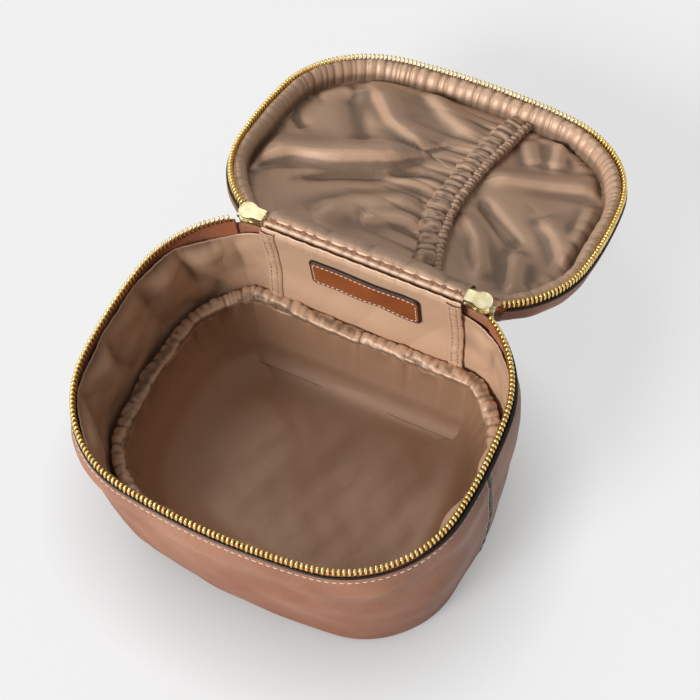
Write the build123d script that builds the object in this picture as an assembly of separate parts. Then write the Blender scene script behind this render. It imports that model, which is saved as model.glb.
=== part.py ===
from build123d import *
import os
from math import cos, floor, hypot, pi, sin, sqrt

# Soft leather jewellery case with a zip round three sides, shown with its lid laid back.
# Origin: centre of the resting face. +X runs along the hinge, +Y from the front to the
# hinge, +Z up. The lid is drawn closed and then turned back about the hinge line.

# Rim: the line that the teeth of the zip follow, seen from above (mm)
case_half_width = 95.0        # widest point to the middle
case_front = 81.0             # front of the rim to the origin
side_widest_y = -2.0
front_bow_radius = 329.0
front_corner_radius = 56.0
side_bow_radius = 254.0
rear_corner_radius = 59.0
hinge_half_length = 63.0      # half of the straight back
hinge_y = 73.8                # hinge line to the origin
roll_recess = 0.2             # outer leather to the roll, so that the lid folds back

# Height and form of the base
base_height = 102.0           # resting face to the plane where the rows of teeth meet
wall_taper = 11.0             # how much further in the bottom is, on each side
wall_bulge = 4.7              # how far the soft wall swells at half height
side_seam_y = -2.0            # seam between front band and back band

# Lid
lid_height = 20.0             # meeting plane to the top of the lid
lid_edge_flat = 6.0           # upright part of the lid's edge, below the rounding
lid_seam_inset = 15.0         # seam of the top panel, in from the edge
lid_open_angle = 194.5        # from closed to laid back against the base
hinge_drop = 2.2              # hinge line below the meeting plane

# Leather, boards and linings
leather = 1.4
stiffener = 1.2
lining = 1.1
lining_below_edge = 1.0       # satin stops below the leather's edge
satin = 0.8
bottom_leather = 1.8
bottom_edge_radius = 1.5
bottom_board = 2.0
floor_pad = 2.0
lid_foam = 2.0
lid_board = 1.5
layer_gap = 0.1               # between layers that are glued or sewn together
fold_radius = 1.8             # rolled leather along the hinge line
roll_to_corner = 13.0         # end of the roll to the end of the straight back
flap_clearance = 0.4          # lid's leather to the roll

# Zip
zip_pitch = 2.28
tooth_width = 1.15            # along the rim
tooth_height = 3.9
tooth_thickness = 2.6
tooth_chamfer = 0.7
tooth_tip_gap = 0.15          # each row to the meeting plane
tape = 0.7
base_tape_width = 12.0        # below the teeth
lid_tape_width = 8.0
leather_to_teeth = 1.2        # bare tape between the teeth and the leather's edge
row_past_corner = 4.6         # both rows of teeth stop here, beside the sliders
tape_past_corner = 3.4

# Slider and its pull
slider_to_corner = 4.0        # middle of the slider to the end of the straight back
slider_length = 13.2
slider_nose_radius = 4.6
slider_tail_width = 6.4
slider_shoulder_radius = 3.0
slider_corner_radius = 0.8
slider_plate = 0.8
slider_rim = 0.5              # raised edge round the plate that faces inward
slider_rim_height = 0.2
slider_channel = 3.4
slider_lip = 0.8
wedge_length = 4.4
wedge_width = 2.6
wedge_to_nose = 1.0
slider_swing = 90.0           # how far a slider turns while the lid opens
slider_pivot_forward = 3.15   # slider's turning line in front of the hinge line
pin_from_middle = 6.8         # pin that carries the pull, from the slider's middle
pin_radius = 0.6
pin_clearance = 0.08
pin_to_plate = 1.3
lug_thickness = 0.7
lug_radius = 1.2
pull_width = 1.8
pull_thickness = 1.2
pull_length = 14.0
pull_eye_radius = 1.15
notch_clearance = 2.4         # the leather is cut lower beside a slider
notch_depth = 8.0             # meeting plane to the bottom of that cut

# Inside of the base
pocket_top = 52.0
pocket_inset = 5.4            # gathered casing's outer side, in from the teeth line
casing_width = 8.4
casing_height = 8.0
casing_wall = 1.0
elastic = 1.0
elastic_width = 5.4
pocket_panel_inset = 8.8
strip_to_slider = 0.4         # satin strip below the hinge, with a seam tape at each end
seam_tape_width = 7.0
seam_tape = 0.6
patch_length = 58.0
patch_height = 18.0
patch_top = 11.0              # below the meeting plane
patch_x = 2.0
patch_leather = 1.5

# Inside of the lid
hem_width = 8.6
hem_from = 5.5                # above the meeting plane
mouth_x = 15.3                # gathered mouth of the pocket where it is furthest left
mouth_y = 40.0
mouth_bow_radius = 460.0
mouth_width = 8.0
mouth_height = 3.6

# Derived places
outer_face = tape / 2 + layer_gap + leather
hinge_recess = fold_radius + roll_recess
back_line_y = hinge_y - hinge_recess - outer_face
hinge_z = base_height - hinge_drop
fold_half_length = hinge_half_length - roll_to_corner
slider_x = hinge_half_length - slider_to_corner
pin_x = slider_x + pin_from_middle
strip_half_width = slider_x - slider_length / 2 - strip_to_slider
tooth_root = tooth_tip_gap + tooth_height
leather_edge = tooth_root + leather_to_teeth
base_tape_low = base_height - tooth_root - base_tape_width
board_low = bottom_leather + layer_gap
floor_pad_low = board_low + bottom_board + layer_gap
floor_top = floor_pad_low + floor_pad
stiffener_outer = tape / 2
lining_outer = stiffener_outer - stiffener - layer_gap
strip_outer = lining_outer - lining - layer_gap
patch_outer = strip_outer - satin - layer_gap / 2
far = 4 * case_half_width     # beyond the case on every side


# Rim outline ------------------------------------------------------------------
def circles_meet(centre_a, radius_a, centre_b, radius_b, near):
    """Where two circles cross, on the side nearer to a given point."""
    dx, dy = centre_b[0] - centre_a[0], centre_b[1] - centre_a[1]
    apart = hypot(dx, dy)
    along = (radius_a**2 - radius_b**2 + apart**2) / (2 * apart)
    aside = sqrt(radius_a**2 - along**2)
    crossings = [
        (centre_a[0] + (along * dx - side * aside * dy) / apart,
         centre_a[1] + (along * dy + side * aside * dx) / apart)
        for side in (1, -1)]
    return min(crossings, key=lambda point: hypot(point[0] - near[0], point[1] - near[1]))


# Centres of the arcs of the right half; each arc runs smoothly into the next
front_centre = (0.0, front_bow_radius - case_front)
side_centre = (case_half_width - side_bow_radius, side_widest_y)
corner_centre = circles_meet(
    front_centre, front_bow_radius - front_corner_radius,
    side_centre, side_bow_radius - front_corner_radius, (case_half_width, -case_front))
rear_centre = circles_meet(
    (hinge_half_length, back_line_y), rear_corner_radius,
    side_centre, side_bow_radius - rear_corner_radius, (0.0, 0.0))


def on_arc(centre, radius, toward):
    """Point of an arc in the direction of another point."""
    dx, dy = toward[0] - centre[0], toward[1] - centre[1]
    reach = hypot(dx, dy)
    return (centre[0] + radius * dx / reach, centre[1] + radius * dy / reach)


def beyond(start, middle):
    """The point as far past middle as start is before it."""
    return (2 * middle[0] - start[0], 2 * middle[1] - start[1])


def arc(centre, radius, start, end, z):
    """Short way round a centre from start to end."""
    crown = on_arc(centre, radius, ((start[0] + end[0]) / 2, (start[1] + end[1]) / 2))
    return ThreePointArc((*start, z), (*crown, z), (*end, z))


def rim_arcs(offset, z):
    """Rim moved outward by offset: from the right end of the hinge round the front."""
    front_r, corner_r = front_bow_radius + offset, front_corner_radius + offset
    side_r, rear_r = side_bow_radius + offset, rear_corner_radius + offset
    back_y = back_line_y + offset
    back_x = rear_centre[0] + sqrt(rear_r**2 - (back_y - rear_centre[1])**2)
    ends = [
        (back_x, back_y),
        on_arc(rear_centre, rear_r, beyond(side_centre, rear_centre)),
        on_arc(corner_centre, corner_r, beyond(side_centre, corner_centre)),
        on_arc(corner_centre, corner_r, beyond(front_centre, corner_centre))]
    right = [(rear_centre, rear_r), (side_centre, side_r), (corner_centre, corner_r)]
    left_ends = [(-x, y) for x, y in ends]
    arcs = [arc(*turn, ends[i], ends[i + 1], z) for i, turn in enumerate(right)]
    arcs.append(arc(front_centre, front_r, ends[3], left_ends[3], z))
    for i, (centre, radius) in reversed(list(enumerate(right))):
        arcs.append(arc((-centre[0], centre[1]), radius, left_ends[i + 1], left_ends[i], z))
    return arcs


def rim_face(offset, z):
    arcs = rim_arcs(offset, z)
    return Face(Wire(arcs + [Line(arcs[-1] @ 1, arcs[0] @ 0)]))


def prism(offset, z_from, z_to):
    """Upright body as wide as the rim moved outward by offset."""
    return extrude(rim_face(offset, z_from), z_to - z_from, dir=(0, 0, 1))


def block(x_from, x_to, y_from, y_to, z_from, z_to):
    box = Box(x_to - x_from, y_to - y_from, z_to - z_from, align=Align.MIN)
    return box.moved(Location((x_from, y_from, z_from)))


def slab(z_from, z_to):
    return block(-far, far, -far, far, z_from, z_to)


def back_half(half_width, z_from=-far, z_to=far):
    """Everything within a half width of the middle, on the side of the hinge."""
    return block(-half_width, half_width, 0, far, z_from, z_to)


def slider_notches(z_from, z_to):
    """Room that the leather leaves for both sliders."""
    middle_x = slider_x + slider_nose_radius / 2
    half_length = slider_length / 2 + notch_clearance
    reach = (middle_x - half_length, middle_x + half_length)
    front = back_line_y - 2 * slider_nose_radius
    right = block(*reach, front, far, z_from, z_to)
    return right + mirror(right, about=Plane.YZ)


# Base -------------------------------------------------------------------------
def wall_offset(z):
    """How far the soft wall stands out from the rim at a height."""
    fall = 1 - z / base_height
    return wall_bulge * sin(pi * fall) - wall_taper * fall


def wall_solid(offset):
    sections = 5
    heights = [base_height * i / (sections - 1) for i in range(sections)]
    return loft([rim_face(offset + wall_offset(z), z) for z in heights], ruled=True)


def wall_layer(outer, inner, z_from, z_to):
    """Layer of the wall between two offsets from the teeth line."""
    return (wall_solid(outer) - wall_solid(inner)) & slab(z_from, z_to)


def bottom_layer(offset, z_from, z_to):
    """Sheet in the bottom, as wide as the wall is there."""
    return prism(offset + wall_offset(z_from), z_from, z_to)


def base_leather():
    """Front band and back band; the back one climbs to the roll of the hinge."""
    wall = wall_layer(outer_face, outer_face - leather, bottom_leather, hinge_z - layer_gap)
    edge = base_height - leather_edge
    band = wall & slab(0, edge)
    band -= slider_notches(base_height - notch_depth, base_height)
    band += wall & back_half(fold_half_length, edge)
    front = block(-far, far, -far, side_seam_y, -far, far)
    panel = bottom_layer(outer_face, 0, bottom_leather)
    rounded = fillet(panel.edges().group_by(Axis.Z)[0], bottom_edge_radius)
    return {"base_front_band": band & front, "base_back_band": band - front,
            "base_bottom_panel": rounded}


def base_layers():
    """Boards and linings that the leather hides."""
    edge = base_height - leather_edge - lining_below_edge
    return {
        "base_wall_stiffener": wall_layer(
            stiffener_outer, stiffener_outer - stiffener, bottom_leather,
            base_tape_low - layer_gap),
        "base_bottom_board": bottom_layer(lining_outer, board_low, board_low + bottom_board),
        "base_wall_lining": wall_layer(lining_outer, lining_outer - lining, floor_pad_low, edge),
        "base_floor_lining": bottom_layer(strip_outer, floor_pad_low, floor_top)}


def base_pocket():
    """Satin pocket all round the inside, gathered at its mouth by an elastic."""
    low = pocket_top - casing_height
    outer, inner = -pocket_inset, -pocket_inset - casing_width
    casing = wall_layer(outer, inner, low, pocket_top) - wall_layer(
        outer - casing_wall, inner + casing_wall, low + casing_wall, pocket_top - casing_wall)
    elastic_outer = (outer + inner + elastic) / 2
    elastic_low = (low + pocket_top - elastic_width) / 2
    return {
        "base_pocket_panel": wall_layer(
            -pocket_panel_inset, -pocket_panel_inset - satin, floor_top, low),
        "base_pocket_casing": casing,
        "base_pocket_elastic": wall_layer(
            elastic_outer, elastic_outer - elastic, elastic_low, elastic_low + elastic_width)}


def hinge_dressing():
    """Satin strip below the hinge, its two seam tapes, the leather patch and the roll."""
    top = hinge_z - layer_gap
    strip = wall_layer(strip_outer, strip_outer - satin, pocket_top, top)
    seam = wall_layer(patch_outer, patch_outer - seam_tape, pocket_top, top - satin)
    seam -= back_half(strip_half_width - seam_tape_width)
    seam &= back_half(strip_half_width)
    right_side = block(0, far, -far, far, -far, far)
    patch_z = base_height - patch_top
    patch = wall_layer(patch_outer, patch_outer - patch_leather, patch_z - patch_height, patch_z)
    roll = Cylinder(fold_radius, 2 * fold_half_length, rotation=(0, 90, 0))
    return {
        "hinge_strip_lining": strip & back_half(strip_half_width),
        "hinge_seam_tape_left": seam - right_side,
        "hinge_seam_tape_right": seam & right_side,
        "leather_patch": patch & back_half(patch_length / 2).moved(Location((patch_x, 0, 0))),
        "hinge_fold": roll.moved(Location((0, hinge_y, hinge_z)))}


# Zip --------------------------------------------------------------------------
def tooth(up):
    """Element with a chamfered nose on its tape's edge; up is 1 on the base, -1 on the lid."""
    half, nose = tooth_thickness / 2, tooth_thickness / 2 - tooth_chamfer
    shoulder = tooth_tip_gap + tooth_chamfer
    outline = [(-half, tooth_root), (half, tooth_root), (half, shoulder),
               (nose, tooth_tip_gap), (-nose, tooth_tip_gap), (-half, shoulder)]
    face = make_face(Polyline(*[(x, -up * depth) for x, depth in outline], close=True))
    return extrude(face, tooth_width / 2, both=True)


def teeth_row(up, shift):
    """Row of separate teeth at an even pitch; shift is a share of the pitch."""
    path = Wire(rim_arcs(0, base_height))
    count = floor(path.length / zip_pitch)
    spare = (path.length - (count - 1) * zip_pitch) / 2
    element = tooth(up)
    row = []
    for i in range(count - 1):
        share = (spare + (i + shift) * zip_pitch) / path.length
        place, run = path @ share, path % share
        if place.Y > 0 and abs(place.X) < hinge_half_length + row_past_corner:
            continue
        across = Vector(run.Y, -run.X, 0)
        seat = Plane(origin=place, x_dir=across, z_dir=across.cross(Vector(0, 0, 1)))
        row.append(element.moved(seat.location))
    return Compound(children=row)


def base_zip():
    cloth = wall_layer(tape / 2, -tape / 2, base_tape_low, base_height - tooth_root)
    cloth -= back_half(hinge_half_length + tape_past_corner)
    return {"base_zip_tape": cloth, "base_zip_teeth": teeth_row(1, 0.0)}


# Lid, drawn closed ------------------------------------------------------------
def lid_form(inset):
    """The lid's rounded form, or the same form inset by the layers outside it."""
    steps = 5
    radius = lid_height - lid_edge_flat - inset
    centre_offset = outer_face - inset - radius
    centre_z = base_height + lid_edge_flat
    turns = [pi / 2 * i / steps for i in range(steps + 1)]
    dome = [rim_face(centre_offset + radius * cos(turn), centre_z + radius * sin(turn))
            for turn in turns]
    return prism(outer_face - inset, base_height, centre_z) + loft(dome, ruled=True)


def lid_slab(height_from, height_to):
    return slab(base_height + height_from, base_height + height_to)


def lid_sheet(offset, height_from, height_to):
    return prism(offset, base_height + height_from, base_height + height_to)


def lid_leather():
    """Edge band, top panel and the flap that runs down to the roll of the hinge."""
    shell = (lid_form(0) - lid_form(leather)) & lid_slab(leather_edge, far)
    shell -= slider_notches(base_height, base_height + notch_depth)
    middle = lid_sheet(outer_face - lid_seam_inset, 0, far)
    reach = fold_radius + flap_clearance
    flap_low = sqrt(reach**2 - hinge_recess**2) - hinge_drop
    flap = lid_sheet(outer_face, flap_low, leather_edge) - lid_sheet(
        outer_face - leather, flap_low, leather_edge)
    return {"lid_edge_band": shell - middle, "lid_top_panel": shell & middle,
            "lid_hinge_flap": flap & back_half(fold_half_length)}


def lid_layers():
    """Padding, board and lining under the leather, and the gathered hem inside the zip."""
    foam_high = lid_height - leather - layer_gap
    board_high = foam_high - lid_foam - layer_gap
    lining_high = board_high - lid_board - layer_gap
    lining_low = lining_high - lining
    rounding = lid_height - lid_edge_flat
    hem_inset = leather + tape + 2 * layer_gap
    hem = lid_form(hem_inset) & lid_slab(hem_from, lining_low - layer_gap)
    hem -= lid_sheet(outer_face - hem_inset - hem_width, 0, lid_height)
    return {
        "lid_foam": lid_sheet(leather - rounding, foam_high - lid_foam, foam_high),
        "lid_board": lid_sheet(-rounding / 2, board_high - lid_board, board_high),
        "lid_lining": lid_sheet(-rounding / 2, lining_low, lining_high),
        "lid_hem_roll": hem}


def lid_pocket():
    """Satin pocket over the left of the lid; its mouth is a gathered tube with elastic."""
    high = lid_height - leather - lid_foam - lid_board - lining - 4 * layer_gap
    low = high - mouth_height
    bow = Location((mouth_x + mouth_bow_radius, mouth_y, base_height))
    tube_wall = [mouth_bow_radius + side * mouth_width / 2 for side in (1, -1)]

    def bowed(radius_big, radius_small, height_from, height_to):
        cut = lid_sheet(-hem_width - satin, height_from, height_to)
        ring = Cylinder(radius_big, far) - Cylinder(radius_small, 2 * far)
        return cut & ring.moved(bow) & block(-far, case_half_width / 2, -far, far, -far, far)

    tube = bowed(*tube_wall, low, high) - bowed(
        tube_wall[0] - casing_wall, tube_wall[1] + casing_wall, low + casing_wall,
        high - casing_wall)
    cord_low = (low + high - elastic) / 2
    cord_half = elastic_width / 2
    return {
        "lid_pocket_panel": bowed(2 * mouth_bow_radius, tube_wall[0], high - satin, high),
        "lid_pocket_casing": tube,
        "lid_pocket_elastic": bowed(
            mouth_bow_radius + cord_half, mouth_bow_radius - cord_half,
            cord_low, cord_low + elastic)}


def lid_zip():
    inset = leather + layer_gap
    cloth = (lid_form(inset) - lid_form(inset + tape)) & lid_slab(
        tooth_root, tooth_root + lid_tape_width)
    cloth -= back_half(hinge_half_length + tape_past_corner)
    return {"lid_zip_tape": cloth, "lid_zip_teeth": teeth_row(-1, 0.5)}


def opened_lid():
    closed = {**lid_leather(), **lid_layers(), **lid_pocket(), **lid_zip()}
    hinge_line = Axis((0, hinge_y, hinge_z), (1, 0, 0))
    return {name: piece.rotate(hinge_line, -lid_open_angle) for name, piece in closed.items()}


# Sliders, drawn flat with the nose towards +X and the inward face up ------------
def slider_plan():
    """Round nose, waisted shoulders and a straight tail."""
    nose_x = slider_length / 2 - slider_nose_radius
    tail = Rectangle(nose_x + slider_length / 2, slider_tail_width, align=(Align.MIN, Align.CENTER))
    plan = Circle(slider_nose_radius).moved(Location((nose_x, 0)))
    plan += tail.moved(Location((-slider_length / 2, 0)))
    corners = plan.vertices().group_by(Axis.X)
    plan = fillet(corners[0], slider_corner_radius)
    return fillet(plan.vertices().group_by(Axis.X)[-1], slider_shoulder_radius)


def slider_body():
    """Two plates on a wedge, lips that hold the tapes, and two lugs for the pin."""
    plan = slider_plan()
    half = slider_channel / 2
    inward = extrude(plan, slider_plate).moved(Location((0, 0, half)))
    dish = extrude(offset(plan, -slider_rim), slider_rim_height)
    inward -= dish.moved(Location((0, 0, half + slider_plate - slider_rim_height)))
    outward = extrude(plan, slider_plate).moved(Location((0, 0, -half - slider_plate)))
    wedge = Box(wedge_length, wedge_width, slider_channel, align=(Align.MAX, Align.CENTER, Align.CENTER))
    body = inward + outward + wedge.moved(Location((slider_length / 2 - wedge_to_nose, 0, 0)))
    lip = Box(slider_length / 2 - slider_corner_radius, slider_lip, slider_lip, align=Align.MIN)
    for level in (-half, half - slider_lip):
        for side in (-slider_tail_width / 2, slider_tail_width / 2 - slider_lip):
            body += lip.moved(Location((slider_corner_radius - slider_length / 2, side, level)))
    pin_z = -half - slider_plate - pin_to_plate
    for side in (1, -1):
        lug = Cylinder(lug_radius, lug_thickness, rotation=(90, 0, 0)) + Box(
            2 * lug_radius, lug_thickness, pin_to_plate + slider_plate / 2,
            align=(Align.CENTER, Align.CENTER, Align.MIN))
        lug -= Cylinder(pin_radius + pin_clearance, 2 * lug_thickness, rotation=(90, 0, 0))
        reach = side * (pull_width / 2 + layer_gap + lug_thickness / 2)
        body += lug.moved(Location((pin_x - slider_x, reach, pin_z)))
    return body


def pull_body():
    """Slim metal pull hanging on its pin."""
    pin_z = -slider_channel / 2 - slider_plate - pin_to_plate
    pin_length = pull_width + 2 * lug_thickness + 2 * layer_gap
    blade = Box(pull_thickness, pull_width, pull_length,
                align=(Align.CENTER, Align.CENTER, Align.MAX))
    tip = Cylinder(pull_width / 2, pull_thickness, rotation=(0, 90, 0))
    pull = Cylinder(pull_eye_radius, pull_width, rotation=(90, 0, 0)) + blade
    pull += Cylinder(pin_radius, pin_length, rotation=(90, 0, 0))
    pull += tip.moved(Location((0, 0, -pull_length)))
    return pull.moved(Location((pin_x - slider_x, 0, pin_z)))


def opened_sliders():
    """Each slider stands in the plane of the closed zip and lies back with the lid."""
    turning_line = Axis((0, hinge_y - slider_pivot_forward, hinge_z), (1, 0, 0))
    stand = Location((slider_x, back_line_y, base_height), (90, 0, 0))
    pieces = {}
    for name, flat in (("slider", slider_body()), ("pull", pull_body())):
        right = (stand * flat).rotate(turning_line, -slider_swing)
        pieces["right_" + name] = right
        pieces["left_" + name] = mirror(right, about=Plane.YZ)
    return pieces


parts = {**base_leather(), **base_layers(), **base_pocket(), **hinge_dressing(), **base_zip(),
         **opened_lid(), **opened_sliders()}
os.makedirs("parts", exist_ok=True)
for name, shape in parts.items():
    export_step(shape, "parts/" + name + ".step")
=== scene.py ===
import math
import bmesh
import bpy
import numpy as np
from mathutils import Matrix, Vector


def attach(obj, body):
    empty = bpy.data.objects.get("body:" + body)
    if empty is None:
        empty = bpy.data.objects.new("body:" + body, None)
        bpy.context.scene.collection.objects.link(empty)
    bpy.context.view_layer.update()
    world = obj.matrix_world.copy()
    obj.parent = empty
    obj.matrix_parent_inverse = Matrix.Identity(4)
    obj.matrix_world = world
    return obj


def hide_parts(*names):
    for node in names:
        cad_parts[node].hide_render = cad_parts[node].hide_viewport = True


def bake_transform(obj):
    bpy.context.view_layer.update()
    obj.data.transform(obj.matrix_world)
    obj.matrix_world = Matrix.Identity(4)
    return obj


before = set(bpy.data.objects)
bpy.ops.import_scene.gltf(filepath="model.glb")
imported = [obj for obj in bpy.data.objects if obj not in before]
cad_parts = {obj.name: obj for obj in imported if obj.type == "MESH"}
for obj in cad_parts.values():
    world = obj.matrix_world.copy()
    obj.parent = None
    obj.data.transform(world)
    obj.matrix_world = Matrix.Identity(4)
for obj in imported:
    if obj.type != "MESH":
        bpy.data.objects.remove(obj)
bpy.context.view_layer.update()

# Table and light ---------------------------------------------------------------
# The case stands on a pale table, under a large soft light in front of it on the left and a
# weaker one behind it. Seen directly, the table is mostly an even pale backdrop, with a painted
# shadow that darkens it close to the case; the rest keeps the case's soft shadow.
MM = 0.001


def add(tree, kind, **values):
    """New shader node. Lower-case names are settings; the others are inputs, by name."""
    new = tree.nodes.new(kind)
    for name, value in values.items():
        if name[0].islower():
            setattr(new, name, value)
            continue
        by_number = name[0] == "I" and name[1:].isdigit()
        socket = new.inputs[int(name[1:]) if by_number else name.replace("_", " ")]
        if isinstance(value, bpy.types.NodeSocket):
            tree.links.new(value, socket)
        else:
            socket.default_value = value
    return new


def combine(tree, operation, a, b=0.0, c=0.0):
    return add(tree, "ShaderNodeMath", operation=operation, I0=a, I1=b, I2=c).outputs[0]


def blend_colours(tree, share, a, b):
    mix = add(tree, "ShaderNodeMix", data_type="RGBA")
    for socket, value in ((mix.inputs[0], share), (mix.inputs[6], a), (mix.inputs[7], b)):
        if isinstance(value, bpy.types.NodeSocket):
            tree.links.new(value, socket)
        else:
            socket.default_value = value
    return mix.outputs[2]


def spread(tree, value, low, high, to_low=0.0, to_high=1.0):
    """Values between low and high stretched to another span, and held beyond it."""
    return add(tree, "ShaderNodeMapRange", I0=value, I1=low, I2=high, I3=to_low,
               I4=to_high).outputs[0]


def colour(red, green, blue):
    """Colour as it looks on a screen, 0 to 255, turned into light."""
    def light(c):
        c /= 255
        return c / 12.92 if c <= 0.04045 else ((c + 0.055) / 1.055) ** 2.4
    return (light(red), light(green), light(blue), 1.0)


def new_material(name, **values):
    material = bpy.data.materials.new(name)
    material.use_nodes = True
    shader = material.node_tree.nodes["Principled BSDF"]
    for key, value in values.items():
        shader.inputs[key.replace("_", " ")].default_value = value
    return material, material.node_tree, shader


def finish_look(tree, shader, tone, height=None, strength=0.0, distance=0.0):
    """Gives a material its colour and, with a height, its fine relief."""
    tree.links.new(tone, shader.inputs["Base Color"])
    if height is not None:
        bumps = add(tree, "ShaderNodeBump", Strength=strength, Distance=distance, Height=height)
        tree.links.new(bumps.outputs[0], shader.inputs["Normal"])


def shaded(tone, amount):
    return [min(c * amount, 1.0) for c in tone[:3]] + [1.0]


def own_coordinates(tree, stretch=(1.0, 1.0, 1.0)):
    place = add(tree, "ShaderNodeTexCoord")
    return add(tree, "ShaderNodeMapping", I0=place.outputs["Object"], I3=stretch).outputs[0]


def seen_directly(tree):
    """1 where a surface is looked at, mirrored or seen through, and 0 where it only lights."""
    path = add(tree, "ShaderNodeLightPath").outputs
    seen = combine(tree, "ADD", path["Is Camera Ray"], path["Is Glossy Ray"])
    return combine(tree, "ADD", seen, path["Is Transmission Ray"])


half_table = 6.0
table_mesh = bpy.data.meshes.new("table")
corners = ((-1, -1), (1, -1), (1, 1), (-1, 1))
table_mesh.from_pydata([(x * half_table, y * half_table, 0) for x, y in corners], [],
                       [(0, 1, 2, 3)])
table = bpy.data.objects.new("table", table_mesh)
bpy.context.collection.objects.link(table)
table_paint, tree, shader = new_material("table_paint", Roughness=0.9, Specular_IOR_Level=0.1)
shader.inputs["Base Color"].default_value = (0.9, 0.9, 0.9, 1)
seen = combine(tree, "MULTIPLY", combine(tree, "MINIMUM", seen_directly(tree), 1.0), 0.75)
# Painted shadow: ambient occlusion darkens the backdrop colour next to the case.
painted_shadow_ao = add(tree, "ShaderNodeAmbientOcclusion", Distance=0.05, samples=12).outputs["AO"]
painted_shadow_backdrop = add(tree, "ShaderNodeEmission", Strength=1.0, Color=blend_colours(
    tree, painted_shadow_ao, (0.12, 0.11, 0.1, 1), (0.89, 0.89, 0.89, 1)))
surface = add(tree, "ShaderNodeMixShader", I0=seen, I1=shader.outputs[0], I2=painted_shadow_backdrop.outputs[0])
tree.links.new(surface.outputs[0], tree.nodes["Material Output"].inputs["Surface"])
table_mesh.materials.append(table_paint)

world = bpy.data.worlds.new("studio")
world.use_nodes = True
tree = world.node_tree
plain = tree.nodes["Background"]
plain.inputs["Color"].default_value = (1.0, 1.0, 1.0, 1)
tree.links.new(spread(tree, seen_directly(tree), 0.0, 1.0, 0.24, 0.5), plain.inputs["Strength"])
bpy.context.scene.world = world
bpy.context.scene.view_settings.view_transform = "Standard"


def soft_light(name, place, side, power):
    lamp = bpy.data.lights.new(name, "AREA")
    lamp.shape, lamp.size, lamp.energy = "DISK", side, power
    holder = bpy.data.objects.new(name, lamp)
    holder.location = place
    aim = Vector((0, 0.05, 0.05)) - Vector(place)
    holder.rotation_euler = aim.to_track_quat("-Z", "Y").to_euler()
    bpy.context.collection.objects.link(holder)


soft_light("key_light", (-2.9, -7.4, 4.3), 4.0, 1010.0)
soft_light("back_light", (-3.4, 2.9, 6.2), 2.6, 100.0)

# Eye of the viewer: above the right front corner, turned a little
camera_data = bpy.data.cameras.new("eye")
camera_data.lens, camera_data.sensor_width = 85.48, 36.0
camera_data.clip_start, camera_data.clip_end = 0.01, 50.0
camera = bpy.data.objects.new("eye", camera_data)
bpy.context.collection.objects.link(camera)
azimuth, elevation, roll = (math.radians(a) for a in (30.17, 60.06, -4.83))
away = Vector((math.sin(azimuth) * math.cos(elevation), -math.cos(azimuth) * math.cos(elevation),
               math.sin(elevation)))
level = Vector((math.cos(azimuth), math.sin(azimuth), 0))
upright = away.cross(level)
across = math.cos(roll) * level + math.sin(roll) * upright
upward = -math.sin(roll) * level + math.cos(roll) * upright
turned = Matrix((across, upward, away)).transposed().to_4x4()
camera.matrix_world = Matrix.Translation((0.2056, -0.3007, 0.7547)) @ turned
bpy.context.scene.camera = camera

# Base leather --------------------------------------------------------------------
# Two bands of soft grained leather, butted at the side seams, on a rounded bottom panel.
# Their cut edge is painted black and they are sewn to the zip with pale thread.


def path_reach(path):
    """Distance along a path to each of its points."""
    return np.r_[0, np.cumsum(np.linalg.norm(np.diff(path, axis=0), axis=1))]


def between(at, places, values):
    """Rows of values, read off between their places."""
    return np.stack([np.interp(at, places, column) for column in values.T], 1)


def rim_outline(count=2880, softness=4.5):
    """Line of the zip's teeth seen from above (mm), clockwise from the middle of the back."""
    arcs = (((35.0, 18.0), 59.0, 28.4, 84.1), ((-159.0, -2.0), 254.0, 84.1, 95.9),
            ((38.0, -22.35), 56.0, 95.9, 172.0), ((0.0, 248.0), 329.0, 172.0, 180.0))
    right = [np.stack([np.linspace(0, 63, 100), np.full(100, 69.95)], 1)]
    for (x, y), radius, start, end in arcs:
        turn = np.radians(np.linspace(start, end, 200))
        right.append(np.stack([x + radius * np.sin(turn), y + radius * np.cos(turn)], 1))
    right = np.concatenate(right)
    line = np.concatenate([right, right[::-1] * (-1, 1)])
    line = line[np.r_[True, np.linalg.norm(np.diff(line, axis=0), axis=1) > 1e-6]]
    reach = path_reach(line)
    line = between(np.linspace(0, reach[-1], count, endpoint=False), reach, line)
    waves = np.fft.fftfreq(count, reach[-1] / count)
    soft = np.exp(-2 * (math.pi * waves * softness) ** 2)
    return np.stack([np.fft.ifft(np.fft.fft(line[:, i]) * soft).real for i in (0, 1)], 1)


rim = rim_outline()
run = np.roll(rim, -1, 0) - np.roll(rim, 1, 0)
run /= np.linalg.norm(run, axis=1)[:, None]
out = np.stack([-run[:, 1], run[:, 0]], 1)
rim_reach = path_reach(np.r_[rim, rim[:1]])
rim_length = rim_reach[-1]


def on_rim(s, outward=0.0):
    """Points (x, y) at distances s along the rim, moved outward (mm)."""
    s = np.asarray(s, float) % rim_length
    place = [np.interp(s, rim_reach, np.r_[rim[:, i], rim[0, i]]) for i in (0, 1)]
    side = [np.interp(s, rim_reach, np.r_[out[:, i], out[0, i]]) for i in (0, 1)]
    return np.stack([place[i] + side[i] * outward for i in (0, 1)], -1)


def rim_at(x, y):
    """Distance along the rim to its point nearest to (x, y)."""
    return rim_reach[np.argmin(np.hypot(rim[:, 0] - x, rim[:, 1] - y))]


def from_back(s):
    """Distance along the rim from the middle of the back, the same on both sides."""
    return np.abs((s + rim_length / 2) % rim_length - rim_length / 2)


def facing_out(s):
    """Level direction that looks straight out of the case, at distances s along the rim."""
    return np.c_[on_rim(s, 1.0) - on_rim(s, 0.0), np.zeros(len(s))]


def repeated(way, count):
    return np.tile(np.array(way, float), (count, 1))


def smooth(low, high, value):
    share = np.clip((value - low) / (high - low), 0, 1)
    return share * share * (3 - 2 * share)


def bump(value, middle, width):
    return np.exp(-((value - middle) / width) ** 2)


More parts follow.
